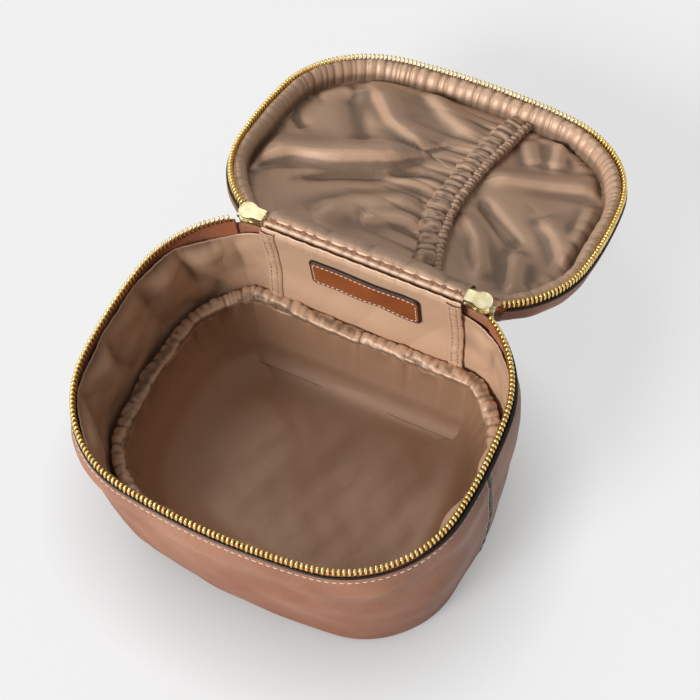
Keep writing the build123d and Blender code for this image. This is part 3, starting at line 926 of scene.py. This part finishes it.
# The pocket and the floor below use the darker satin copy, painted shade of the well.
pocket = thickened(grid_piece("base_satin_pocket", points, shade_painted_satin, around=True,
                              painted_crease_shade=hollows(-puff, 5, 1.2)), 0.35)
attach(pocket, "base")
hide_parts("base_pocket_panel")

levels = np.r_[np.linspace(0, 0.7, 30), np.linspace(0.715, 1.0, 30)]
points, share, deep = filled(lambda s: wall_points(s, -13.4, 22.0), levels)
lying = points * (1, 1, 0)
points[..., 2] = bowl_height(deep) + 0.1 + 0.5 * smooth(0, 9, deep) + (
    1.0 * unevenness(lying, 46, 33) + 0.25 * unevenness(lying, 15, 34)) * smooth(9, 26, deep)
points[..., 0] += lean(points[..., 2]) - lean(22)
satin_floor = grid_piece("base_satin_floor", points, shade_painted_satin, plan=points[..., :2])
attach(satin_floor, "base")
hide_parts("base_floor_lining")

def puffed_tube(path, sideways, upward, wide, high):
    """Tube round a path; wide and high say how far out each of its points lies."""
    return (path[:, None] + wide[..., None] * sideways[:, None]
            + high[..., None] * upward[:, None])


# Casing of the elastic: a puckered satin tube that wanders a little up and down
s = np.arange(0, rim_length, 0.46)
wander = wall_points(s, -9.6, 48.2)
sway = unevenness(wander, 48, 35)
path = wall_points(s, -9.4 + 1.3 * unevenness(wander, 34, 36), 48.0 + 1.5 * sway)
sideways, upward_line = facing_out(s), repeated((0, 0, 1), len(s))
puff = gathers(s, 13.0, 37)
turn = np.linspace(0, 2 * math.pi, 24, endpoint=False)
small = gathers(s + 1.7, 4.4, 38)
across_way, up_way = squared(np.cos(turn), 0.75), squared(np.sin(turn), 0.75)
swell = 0.84 + 0.2 * puff[:, None] + 0.07 * small[:, None] * (1 + np.sin(turn + 0.8))
round_it = np.stack([s[:, None] + 0 * turn, 9 * np.cos(turn) + 0 * s[:, None],
                     9 * np.sin(turn) + 0 * s[:, None]], -1)
swell = (swell + 0.13 * unevenness(round_it * (0.55, 1, 1), 9, 39)
         + 0.05 * unevenness(round_it, 5, 40))
swell = swell - 0.16 * bump(np.sin(turn), 0.0, 0.28) * (np.cos(turn) < 0)
casing = puffed_tube(path, sideways, upward_line, 3.7 * (swell * across_way),
                     3.5 * (swell * up_way))
pocket_mouth = grid_piece("base_pocket_mouth", casing, satin, around=True, tube=True,
                          painted_crease_shade=hollows(3.6 * swell, 4, 0.55))
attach(pocket_mouth, "base")
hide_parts("base_pocket_casing")

# Elastic inside the casing
elastic_look, tree, shader = new_material("elastic", Roughness=0.8, Sheen_Weight=0.2)
ribs = add(tree, "ShaderNodeTexWave", Vector=own_coordinates(tree), Scale=420.0, Distortion=0.4)
finish_look(tree, shader, blend_colours(tree, ribs.outputs[1], colour(208, 200, 188),
                                        colour(240, 236, 228)))
elastic = grid_piece("base_mouth_elastic", rim_tube(path[::4], s[::4], 0.5, 2.2, 8),
                     elastic_look, around=True, tube=True)
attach(elastic, "base")
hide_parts("base_pocket_elastic")

# Hinge strip and patch -----------------------------------------------------------------
# Below the hinge hangs a taut satin strip with a doubled, stitched seam at each end, and a
# small painted leather patch is sewn on it.
strip_end = 52.0


def strip_points(x, z, lift=0.0):
    """Points on the strip: x along the hinge, z the height, lift towards the inside (mm)."""
    x, z = np.broadcast_arrays(x, z)
    s = x % rim_length
    hang = 1 - smooth(56, 72, z)
    flat = wall_points(s, -2.9 - lift - 2.4 * hang, z)
    flat[..., 1] -= 0.5 * np.abs(unevenness(flat, 26, 41)) * smooth(100, 92, z)
    return flat


x, z = np.meshgrid(np.linspace(-strip_end, strip_end, 220),
                   np.r_[np.linspace(50, 97, 40), 98.4, 99.6, 100.4], indexing="ij")
points = strip_points(x, z)
pull_in = gathers(x + strip_end, 6.5, 42) * smooth(90, 99, z) * 0.35
points[..., 1] -= pull_in
points[..., 1] += 1.5 * smooth(97.5, 100.4, z)
hinge_strip = thickened(grid_piece("base_hinge_strip", points, satin), 0.4)
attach(hinge_strip, "base")
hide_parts("hinge_strip_lining")

satin_thread = thread_look("satin_thread", colour(134, 98, 72))
for side_name, way in (("left", -1), ("right", 1)):
    x, z = np.meshgrid(way * np.linspace(strip_end + 0.4, strip_end - 7.2, 22),
                       np.linspace(50.5, 99.4, 90), indexing="ij")
    from_edge = (strip_end + 0.4 - np.abs(x)) / 7.6
    ruck = gathers(z, 4.4, 43) * 0.45
    fat = (0.9 * np.sin(math.pi * np.clip(from_edge, 0, 1)) ** 0.4
           + ruck * np.sin(math.pi * from_edge))
    groove = bump(from_edge, 0.28, 0.05) + bump(from_edge, 0.72, 0.05)
    x = x + way * 0.5 * (gathers(z + 3, 9.0, 44) - 0.5) * (1 - from_edge)
    seam_strip = grid_piece("base_strip_seam_" + side_name,
                            strip_points(x, z, 0.25 + fat - 0.35 * groove), satin)
    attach(thickened(seam_strip, 0.3), "base")
    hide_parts("hinge_seam_tape_" + side_name)
    for row, step in (("outer", 2.1), ("inner", 5.5)):
        z_line = np.linspace(53, 99, 80)
        path = strip_points(np.full(80, way * (strip_end + 0.4 - step)), z_line, 1.15)
        stitches("base_strip_" + side_name + "_" + row + "_thread", path,
                 repeated((0, -1, 0), 80), satin_thread, "base", 2.6, 1.8, 0.4)

patch_leather = leather_look("patch_leather", colour(150, 82, 40), colour(120, 60, 26),
                             colour(120, 60, 26), 0.35, 0.42)
patch_left, patch_right, patch_low, patch_high, corner = -27.0, 31.0, 73.0, 91.0, 2.2
wide, tall = (patch_right - patch_left) / 2, (patch_high - patch_low) / 2
outline = []
for start, (cx, cz) in zip((0, 90, 180, 270), ((1, 1), (-1, 1), (-1, -1), (1, -1))):
    for angle in np.radians(np.linspace(start, start + 90, 9)):
        outline.append((cx * (wide - corner) + corner * math.cos(angle),
                        cz * (tall - corner) + corner * math.sin(angle)))
outline = np.array(outline)
full = np.r_[outline, outline[:1]]
reach = path_reach(full)
outline = between(np.linspace(0, reach[-1], 200, endpoint=False), reach, full)
centre_x, centre_z = (patch_left + patch_right) / 2, (patch_low + patch_high) / 2


def patch_ring(inset, lift):
    """Outline of the patch drawn in by an inset, lifted off the strip; both in mm."""
    size = 1 - inset / np.array([wide, tall])
    flat = outline * size
    return strip_points(centre_x + flat[:, 0], centre_z + flat[:, 1], lift)


rings = [patch_ring(*at) for at in ((0.25, 0.3), (0, 0.6), (0, 1.5), (0.3, 1.8), (0.75, 1.85))]
patch_edge = grid_piece("patch_painted_edge", np.stack(rings, 1), edge_paint, around=True)
rings = [patch_ring(*at) for at in ((0.7, 1.8), (1.2, 1.95), (1.9, 1.8), (2.5, 1.95), (4, 2.05),
                                    (6, 2.1), (9, 2.1))]
patch_face = grid_piece("patch_face", np.stack(rings, 1), patch_leather, around=True)
for made in (patch_edge, patch_face):
    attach(made, "base")
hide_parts("leather_patch")
s = np.arange(201) % 200
stitches("patch_thread", patch_ring(1.9, 1.95)[s], repeated((0, -1, 0), len(s)), pale_thread,
         "base", 2.5, 1.7, 0.45)

# Leather of the lid --------------------------------------------------------------------
# A shallow lid laid back behind the hinge: an edge band and a top panel of the same leather,
# with a sewn seam between them. It is drawn closed and then turned back.
hinge_point, open_turn = np.array([0.0, 73.8, 99.8]), math.radians(194.5)


def laid_back(points):
    """Points of the closed lid (x, y, height above the zip) where they lie when it is open."""
    y, up = points[..., 1] - hinge_point[1], points[..., 2] + zip_height - hinge_point[2]
    c, s = math.cos(open_turn), math.sin(open_turn)
    return np.stack([points[..., 0], hinge_point[1] + c * y + s * up,
                     hinge_point[2] - s * y + c * up], -1)


def lid_points(s, outward, height):
    """Points of the closed lid: s along the rim, outward from it, height above the zip."""
    s, outward, height = np.broadcast_arrays(s, outward, height)
    flat = on_rim(s, outward)
    return np.stack([flat[..., 0], flat[..., 1], height], -1)


def lid_edge(s):
    """Height of the leather's edge above the zip: further away beside the sliders."""
    return 5.3 + 2.6 * notch(s)


def lid_dents(points):
    rise = smooth(5.5, 12, points[..., 2])
    return 0.55 * rise * unevenness(points, 40, 51) + 0.2 * rise * unevenness(points, 14, 52)


s = np.linspace(0, rim_length, 620, endpoint=False)[:, None]
turn = np.radians(np.linspace(0, 90, 12))[None, :]
edge = lid_edge(s)
outer = [lid_points(s, leather_face + 0 * edge, edge),
         lid_points(s, 1.9 + 0 * edge, np.maximum(edge, 6.0) + 0.3)]
round_side = lid_points(s, leather_face - 14 + 14 * np.cos(turn), 6.3 + (
    np.maximum(edge - 6.0, 0) * (1 - np.sin(turn))) + 13.9 * np.sin(turn))
seam_dip = lid_points(s, np.array([[-12.8, -13.3]]), np.array([[19.9, 19.0]]))
inner_round = lid_points(s, leather_face - 14 + 12.6 * np.cos(turn[:, ::-1]),
                         6.3 + 12.5 * np.sin(turn[:, ::-1]))
inner_foot = lid_points(s, 0.5 + 0 * edge, edge + 0.2)
points = np.concatenate([outer[0], outer[1], round_side, seam_dip, inner_round, inner_foot], 1)
side = np.concatenate([on_rim(s, 1.0) - on_rim(s), np.full((len(s), 1, 1), 0.6)], 2)
points += side * lid_dents(points)[..., None]
lid_band = grid_piece("lid_edge_leather", laid_back(points), leather, around=True, tube=True)
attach(lid_band, "lid")
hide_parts("lid_edge_band")

levels = np.r_[np.linspace(0, 0.93, 40), 0.95, 0.96, 0.966, 0.972, 0.978, 0.984, 0.992, 1.0]
top, share, deep = filled(lambda s: lid_points(s, -13.3, 18.2), levels)
top[..., 2] += 1.5 * smooth(0, 2.3, deep) + 0.011 * deep + 0.4 * unevenness(
    top * (1, 1, 0), 44, 53) * smooth(0, 9, deep)
lid_panel = grid_piece("lid_top_leather", laid_back(top), leather, plan=top[..., :2])
thickened(lid_panel, 1.2)
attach(lid_panel, "lid")
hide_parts("lid_top_panel")

s = np.linspace(0, rim_length, 900)
flat_out = facing_out(s)
for row, outward, height, tilt in (("outer", -10.2, 20.15, 0.14), ("inner", -15.6, 20.5, 0.0)):
    path = lid_points(s, outward, height)
    path += 0.6 * np.c_[np.zeros((len(s), 2)), lid_dents(path)]
    if row == "inner":
        path[:, 2] += 0.15 * unevenness(path * (1, 1, 0), 44, 53) - 0.1
    up = np.c_[flat_out[:, :2] * tilt, np.ones(len(s))]
    stitches("lid_seam_" + row + "_thread", laid_back(path), laid_back(path + up) - laid_back(path),
             pale_thread, "lid")

s = np.arange(notch_edge, rim_length - notch_edge, 0.9)
bead = rim_tube(lid_points(s, 1.15, lid_edge(s) - 0.1), s, 0.9, 0.55)
lid_paint = grid_piece("lid_painted_edge", laid_back(bead), edge_paint, tube=True, capped=True)
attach(lid_paint, "lid")

# Hinge: the leather runs over a puckered roll and on into a short flap under the lid
roll_end = 50.0
x = np.linspace(-roll_end, roll_end, 200)
radius = (1.82 + 0.16 * gathers(x + roll_end, 2.4, 54))[:, None, None]
roll_grid = tube_along(hinge_point + np.outer(x, (1, 0, 0)), repeated((0, 1, 0), len(x)),
                       repeated((0, 0, 1), len(x)), radius, radius, 16)
hinge_roll = grid_piece("hinge_leather_roll", roll_grid, leather, tube=True, capped=True)
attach(hinge_roll, "base")
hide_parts("hinge_fold")
x, height = np.meshgrid(np.linspace(-roll_end, roll_end, 120),
                        np.array([-0.9, -0.6, 0.5, 2, 3.5, 5.0, 6.2]), indexing="ij")
flap = np.stack([x, 71.75 - 0.12 * gathers(x + roll_end, 3.1, 55), height], -1)
flap = np.concatenate([flap, flap[:, ::-1] - (0, 1.3, 0)], 1)
flap_piece = grid_piece("lid_hinge_leather", laid_back(flap), leather, tube=True, capped=True)
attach(flap_piece, "lid")
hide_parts("lid_hinge_flap")

# Zip of the lid --------------------------------------------------------------------------
# The second row of teeth, on the same rust-brown tape, half a tooth further along.
s = np.linspace(tape_end, rim_length - tape_end, 520)[:, None]
tape_points = lid_points(s, np.array([[0, 0, 0.05, 0.1, 0, -0.8]]),
                         np.array([[3.4, 4.6, 6, 8, 10, 12]]))
lid_tape = thickened(grid_piece("lid_zip_cloth", laid_back(tape_points), zip_cloth), 0.6)
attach(lid_tape, "lid")
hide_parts("lid_zip_tape")

places = []
for centre, across_way, along_way, up_way in tooth_places(0.5, 2.1, -1):
    moved = laid_back(np.array([centre, centre + across_way, centre + along_way, centre + up_way]))
    places.append((moved[0], moved[1] - moved[0], moved[2] - moved[0], moved[3] - moved[0]))
teeth_row("lid_teeth", places, "lid", "lid_zip_teeth")

# Hem of the lid --------------------------------------------------------------------------
# The satin is rolled over a soft filling inside the zip and gathered, so that it puckers.
s = np.arange(0, rim_length, 0.5)
section = np.array([(-1.0, 5.0), (-1.25, 3.4), (-1.9, 2.3), (-3.0, 1.7), (-4.4, 1.6), (-5.8, 2.2),
                    (-7.0, 3.6), (-7.9, 5.8), (-8.5, 8.6), (-8.8, 11.6), (-8.8, 13.4)])
amount = np.array([0.0, 0.15, 0.5, 0.9, 1.0, 1.0, 0.95, 0.8, 0.55, 0.3, 0.1])
far_side = bump(s, rim_length / 2 + 8, 88)
fullness = 0.35 + 0.75 * far_side + 0.35 * bump(s, rim_at(88, -50), 40)
puff = 1.25 * gathers(s, 4.6, 61) * fullness + 0.5 * gathers(s + 2, 15, 62)
small = gathers(s + 1, 2.7, 63)
hem_line = lid_points(s, -5, 5)
broad = 1 + 0.14 * unevenness(hem_line, 34, 64)
outward = section[None, :, 0] * broad[:, None]
across_hem = np.interp(section[:, 0], (-8.8, -6.5, -4.0, -1.0), (0.35, 0.55, 1.15, 1.2))
height = section[None, :, 1] - 0.7 * (amount * across_hem)[None] * (puff[:, None] - 0.45)
height = height - (0.28 * small[:, None] * fullness[:, None] * amount[None]
                   * (section[None, :, 0] < -4))
outward = outward - (0.7 * (puff[:, None] - 0.4) * (section[None, :, 1] > 3)
                     * (section[None, :, 0] < -6))
height = height - 0.5 * unevenness(hem_line, 19, 65)[:, None] * amount[None]
from_middle = from_back(s)[:, None]
by_slider = smooth(49.5, 52, from_middle) * (1 - smooth(67, 69.5, from_middle))
outward = outward + by_slider * np.where(height < 5.6, np.minimum(-3.9 - outward, 0), 0)
height = height + by_slider * np.r_[1.4, np.zeros(len(section) - 1)]
points = lid_points(s[:, None], outward, height)
# Crease mask of the hem, for painted shade in its puckers.
hem_painted_shade = hollows(-height, 5, 1.1) * (np.arange(len(section)) > 0)
closing = np.array([[(-8.2, 13.6), (-4.5, 13.0), (-1.2, 9.0)]])
hem_painted_shade = np.concatenate([hem_painted_shade, np.zeros((len(s), closing.shape[1]))], 1)
points = np.concatenate([points, lid_points(s[:, None], closing[..., 0], closing[..., 1])], 1)
hem = grid_piece("lid_satin_hem", laid_back(points), satin, around=True, tube=True,
                 painted_crease_shade=hem_painted_shade)
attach(hem, "lid")
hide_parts("lid_hem_roll")

# Lining of the lid --------------------------------------------------------------------------
# Satin laid loosely over the padding, with soft folds that run from the hem.


def fold(points, line, tall, left, right):
    """Height of one fold in the cloth along a bent line. left and right are the widths of its
    two flanks, seen along the line."""
    line = np.array(line, float)
    reach = path_reach(line)
    line = between(np.linspace(0, reach[-1], 60), reach, line)
    for _ in range(14):
        line[1:-1] = (line[:-2] + 2 * line[1:-1] + line[2:]) / 4
    way = np.gradient(line, axis=0)
    way /= np.linalg.norm(way, axis=1)[:, None]
    flat = points[..., :2].reshape(-1, 1, 2) - line
    gap = np.linalg.norm(flat, axis=2)
    near = gap.argmin(1)
    pick = np.arange(len(near))
    aside = way[near, 0] * flat[pick, near, 1] - way[near, 1] * flat[pick, near, 0]
    wide = np.where(aside > 0, left, right)
    along = near / 59
    ends = smooth(-0.1, 0.22, along) * (1 - smooth(0.8, 1.1, along))
    return (tall * ends * np.exp(-(gap[pick, near] / wide) ** 2)).reshape(points.shape[:-1])


def fold_sum(points, folds):
    return sum(fold(points, *one) for one in folds)


mouth_line = np.array([(-76, 26.0), (-66, 23.5), (-50, 20.5), (-36, 19.0), (-20, 17.2), (-8, 16.2),
                       (6, 15.5), (18, 16.0), (30, 18.0), (42, 21.5), (52, 25.5), (62, 30.0)])


def mouth_x(y):
    """Middle of the gathered mouth at a distance y from the middle of the lid."""
    return np.interp(y, mouth_line[:, 0], mouth_line[:, 1])


s = np.linspace(0, rim_length, 520, endpoint=False)
shares = np.r_[1.0, 0.99, np.linspace(0.975, 0.02, 78)]
points = drawn_in(lid_points(s, -8.2, 13.4), shares)
right_folds = [([(24, -20), (48, -30), (80, -42)], 4.4, 4.5, 9.0),
               ([(26, -6), (42, 6), (58, 17)], -3.4, 3.6, 4.5),
               ([(24, 8), (38, 22), (50, 46)], 3.6, 5.0, 5.5),
               ([(60, -8), (72, 2), (86, 22)], 3.2, 5.0, 8.0),
               ([(67, 50), (58, 20)], 3.0, 6.0, 4.0), ([(47, -72), (53, -46)], 2.6, 4.5, 4.5),
               ([(82, -30), (84, 4)], 2.0, 5.0, 4.0), ([(30, -62), (42, -44)], 2.0, 4.0, 6.0)]
raised = fold_sum(points, right_folds) + 0.9 * unevenness(points * (1, 1, 0), 34, 71)
edge_pull = gathers(np.broadcast_to(s[:, None], points.shape[:2]), 9.0, 72)
edge_pull = edge_pull * bump(shares, 1.0, 0.09)[None]
raised = np.where(raised + 1.4 < 0, 0.3 * (raised + 1.4), raised + 1.4)
in_view = smooth(-7, 1, points[..., 0] - mouth_x(points[..., 1]))
raised = raised * in_view - 1.2 * (1 - in_view)
points[..., 2] -= raised * smooth(1.0, 0.93, shares)[None] + 0.9 * edge_pull * in_view
lid_satin = grid_piece("lid_satin_lining", laid_back(points), satin, around=True,
                       painted_crease_shade=hollows(-points[..., 2], 5, 0.9))
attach(lid_satin, "lid")
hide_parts("lid_lining")

# Padding and board between the leather and the satin of the lid
foam_look, tree, shader = new_material("foam", Roughness=0.95, Specular_IOR_Level=0.05)
cells = add(tree, "ShaderNodeTexVoronoi", Vector=own_coordinates(tree), Scale=1400.0)
finish_look(tree, shader, blend_colours(tree, cells.outputs[0], colour(190, 180, 150),
                                        colour(236, 228, 200)))
s = np.linspace(0, rim_length, 240, endpoint=False)
for name, look, outward, low, thick, node, slot_name in (
        ("lid_padding", foam_look, -12.8, 16.6, 1.8, "lid_foam", "foam"),
        ("lid_stiff_board", board_paper, -9.6, 14.9, 1.4, "lid_board", "board")):
    sheet = drawn_in(lid_points(s, outward, low), [1, 0.8, 0.5, 0.02])
    made = grid_piece(name, laid_back(slab(sheet, thick)), look, around=True, tube=True)
    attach(made, "lid")
    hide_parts(node)

# Pocket of the lid --------------------------------------------------------------------------
# A loose satin pocket over the left part; elastic gathers its mouth, and folds run from there.
inner_edge = on_rim(np.linspace(0, rim_length, 1400), -8.0)
y = np.linspace(-72.5, 60.0, 230)
left_half = inner_edge[inner_edge[:, 0] < 22]
left_x = []
for value in y:
    near = left_half[np.abs(left_half[:, 1] - value) < 1.2]
    left_x.append(near[:, 0].min() if len(near) else 0.0)
left_x = np.array(left_x)
y, share = np.meshgrid(y, np.linspace(0, 1, 150) ** 1.25, indexing="ij")
start_x = mouth_x(y) - 3.5
end_x = np.minimum(left_x[:, None] + 0 * y, start_x - 0.5)
x = start_x + (end_x - start_x) * share
flat = np.stack([x, y], -1)
pocket_folds = [([(-86, 30), (-70, 15), (-49, 8), (-22, -6), (-12, -20)], 7.6, 3.6, 14.0),
                ([(-58, 26), (-44, 16), (-22, 5), (-4, -8)], -3.2, 4.5, 3.5),
                ([(-40, 50), (-22, 30), (4, 14)], 4.4, 9.0, 7.0),
                ([(-56, -58), (-34, -34), (-10, -24)], 4.6, 5.0, 11.0),
                ([(-64, -50), (-52, -30), (-40, -12)], -3.0, 8.0, 7.0),
                ([(-92, -24), (-72, -8)], -1.8, 3.0, 4.0),
                ([(-30, -70), (-12, -56), (10, -46)], 3.0, 6.0, 7.0),
                ([(-26, 4), (-8, 2), (10, -2)], 2.6, 4.0, 5.0),
                ([(-18, 40), (10, 26)], 2.4, 4.5, 5.0),
                ([(-80, -38), (-66, -52)], 1.8, 5.0, 5.0)]
from_mouth = start_x - x
from_hem = x - end_x
raised = fold_sum(flat, pocket_folds)
fan = y + 0.10 * from_mouth * np.sin(y / 19.0)
wide_puff = gathers(fan + 80, 9.5, 81)
fine_puff = gathers(fan + 80.5, 4.2, 82)
raised = raised + 2.8 * (wide_puff - 0.5) * np.exp(-from_mouth / 15.0) + 1.2 * (
    fine_puff - 0.5) * np.exp(-from_mouth / 6.0)
swell = (2.6 * smooth(0, 16, from_hem) * smooth(-2, 30, from_mouth)
         + 2.2 * (1 - smooth(0, 26, from_mouth)))
side_gather = gathers(y + 80.2, 8.0, 83) * np.exp(-from_hem / 5.0)
field = np.stack([x, y, np.zeros_like(x)], -1)
raised = (raised + swell + 0.55 * unevenness(field, 32, 84)) * smooth(-1, 7, from_hem)
raised = raised + 0.5 * side_gather
height = 12.6 - raised - 0.4
ends = np.minimum(smooth(-73, -64, y), 1 - smooth(54, 60.5, y))
height = 12.4 - (12.4 - height) * (0.25 + 0.75 * ends)
lid_pocket = grid_piece("lid_satin_pocket", laid_back(np.stack([x, y, height], -1)), satin,
                        painted_crease_shade=hollows(-height, 6, 0.9))
thickened(lid_pocket, 0.35)
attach(lid_pocket, "lid")
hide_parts("lid_pocket_panel")


def mouth_tube(name, offset, half_width, half_height, middle_height, pitch, seed, rough):
    """One gathered tube of the mouth, beside its middle line by an offset (mm)."""
    y = np.arange(-74.0, 60.0, 0.4)
    x = mouth_x(y) + offset
    way = np.stack([np.gradient(x), np.gradient(y)], 1)
    way /= np.linalg.norm(way, axis=1)[:, None]
    sideways = np.c_[way[:, 1], -way[:, 0], np.zeros(len(y))]
    upward_line = repeated((0, 0, -1), len(y))
    ends = np.minimum(smooth(-74, -62, y), 1 - smooth(46, 60, y))
    wave = unevenness(np.stack([x, y, 0 * y], 1), 22, seed)
    path = np.stack([x + 0.5 * wave, y, middle_height + 2.2 * (1 - ends) + 0.35 * wave], 1)
    corners, lump_rows = 16, 6
    turn = np.linspace(0, 2 * math.pi, corners, endpoint=False)
    puff = gathers(y + 80, pitch, seed + 1)[:, None]
    small_puff = gathers(y + 81, pitch * 0.55, seed + 2)[:, None]
    swell = 1 - rough + rough * 1.25 * puff + 0.1 * small_puff
    lumps = np.random.default_rng(seed).normal(size=(len(y) // lump_rows + 2, corners))
    lumps = between(np.arange(len(y)) / lump_rows, np.arange(len(lumps)), lumps)
    swell = swell * (1 + 0.07 * lumps)
    swell = swell * (0.75 + 0.25 * ends[:, None])
    shape = puffed_tube(path, sideways, upward_line,
                        half_width * (swell * squared(np.cos(turn), 0.8)),
                        half_height * (swell * np.sin(turn)))
    made = grid_piece(name, laid_back(shape), satin, tube=True, capped=True,
                      painted_crease_shade=hollows(half_width * swell, 4, 0.7))
    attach(made, "lid")
    return made


lid_mouth = mouth_tube("lid_pocket_mouth", -2.2, 5.6, 3.0, 8.4, 6.4, 85, 0.3)
mouth_tube("lid_mouth_frill", 4.2, 2.4, 2.6, 8.4, 2.8, 88, 0.36)
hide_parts("lid_pocket_casing")
y = np.arange(-70.0, 56.0, 2.0)
path = np.stack([mouth_x(y) - 1.6, y, np.full(len(y), 9.2)], 1)
cord = tube_along(path, repeated((1, 0, 0), len(y)), repeated((0, 0, 1), len(y)), 2.4, 0.5, 8)
lid_elastic = grid_piece("lid_mouth_elastic", laid_back(cord), elastic_look, tube=True, capped=True)
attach(lid_elastic, "lid")
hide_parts("lid_pocket_elastic")

# Satin over the hinge --------------------------------------------------------------------------
# One puckered satin fold joins the strip of the base to the hem of the lid.
section = np.array([(70.2, 98.2), (70.9, 99.9), (71.7, 101.2), (72.5, 101.5), (73.2, 101.7),
                    (74.2, 102.2), (75.6, 102.3), (77.4, 101.8), (79.4, 100.7), (81.4, 99.1),
                    (83.2, 97.2), (84.8, 94.8), (86.0, 91.8), (86.9, 88.2), (87.6, 84.4)])
x = np.arange(-52.0, 52.01, 0.5)
x, column = np.meshgrid(x, np.arange(len(section)), indexing="ij")
y, z = section[column, 0], section[column, 1]
seam_puff = gathers(x + 52, 6.0, 91)
near_seam = bump(column, 3, 2.6)
lift = 0.6 * (seam_puff - 0.5) * near_seam * (column != 3)
lift = lift - 0.75 * (column == 3) - 0.25 * ((column == 2) | (column == 4))
broad = 0.9 * unevenness(np.stack([x, y, z * 0], -1), 40, 92) * smooth(4, 8, column) + 0.5 * (
    gathers(x + 52.4, 21, 93) - 0.5) * smooth(4, 7, column)
away_y, away_z = np.gradient(y, axis=1), np.gradient(z, axis=1)
size = np.hypot(away_y, away_z)
end_drop = smooth(48, 52, np.abs(x))
points = np.stack([x, y - away_z / size * (lift + broad), z + away_y / size * (lift + broad)], -1)
points[..., 2] -= 1.2 * end_drop * smooth(1, 5, column)
cover = grid_piece("hinge_satin_fold", points, satin, painted_crease_shade=hollows(lift + broad, 4, 0.6))
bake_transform(cover)
x = np.arange(-51.0, 51.0, 0.8)
path = np.outer(x, (1, 0, 0)) + (0, 72.45, 101.15)
stitches("hinge_seam_thread", path, repeated((0, -0.35, 1), len(x)), satin_thread, "base",
         3.0, 2.0, 0.42)

# Sliders and pulls --------------------------------------------------------------------------
# Cast zip sliders plated in pale gold, each with a slim pull; fine scratches, softened edges.


def plating_look():
    material, tree, shader = new_material("slider_metal", Metallic=1.0, Roughness=0.34)
    coordinates = own_coordinates(tree)
    cloudy = add(tree, "ShaderNodeTexNoise", Vector=coordinates, Scale=240.0, Detail=5.0)
    brush = add(tree, "ShaderNodeTexNoise", Vector=own_coordinates(tree, (1, 14, 1)),
                Scale=420.0, Detail=3.0)
    tone = blend_colours(tree, spread(tree, cloudy.outputs[0], 0.35, 0.7), colour(232, 222, 184),
                         colour(210, 196, 150))
    tree.links.new(spread(tree, brush.outputs[0], 0.3, 0.7, 0.26, 0.46), shader.inputs["Roughness"])
    both = combine(tree, "MULTIPLY_ADD", cloudy.outputs[0], 1.5, brush.outputs[0])
    finish_look(tree, shader, tone, both, 0.3, 0.0003)
    return material


plating = plating_look()
for node in ("left_slider", "right_slider", "left_pull", "right_pull"):
    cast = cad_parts[node]
    cast.data.materials.clear()
    cast.data.materials.append(plating)
    softened = cast.modifiers.new("softened_edges", "BEVEL")
    softened.width, softened.segments, softened.limit_method = 0.15 * MM, 2, "ANGLE"
    softened.angle_limit = math.radians(40)
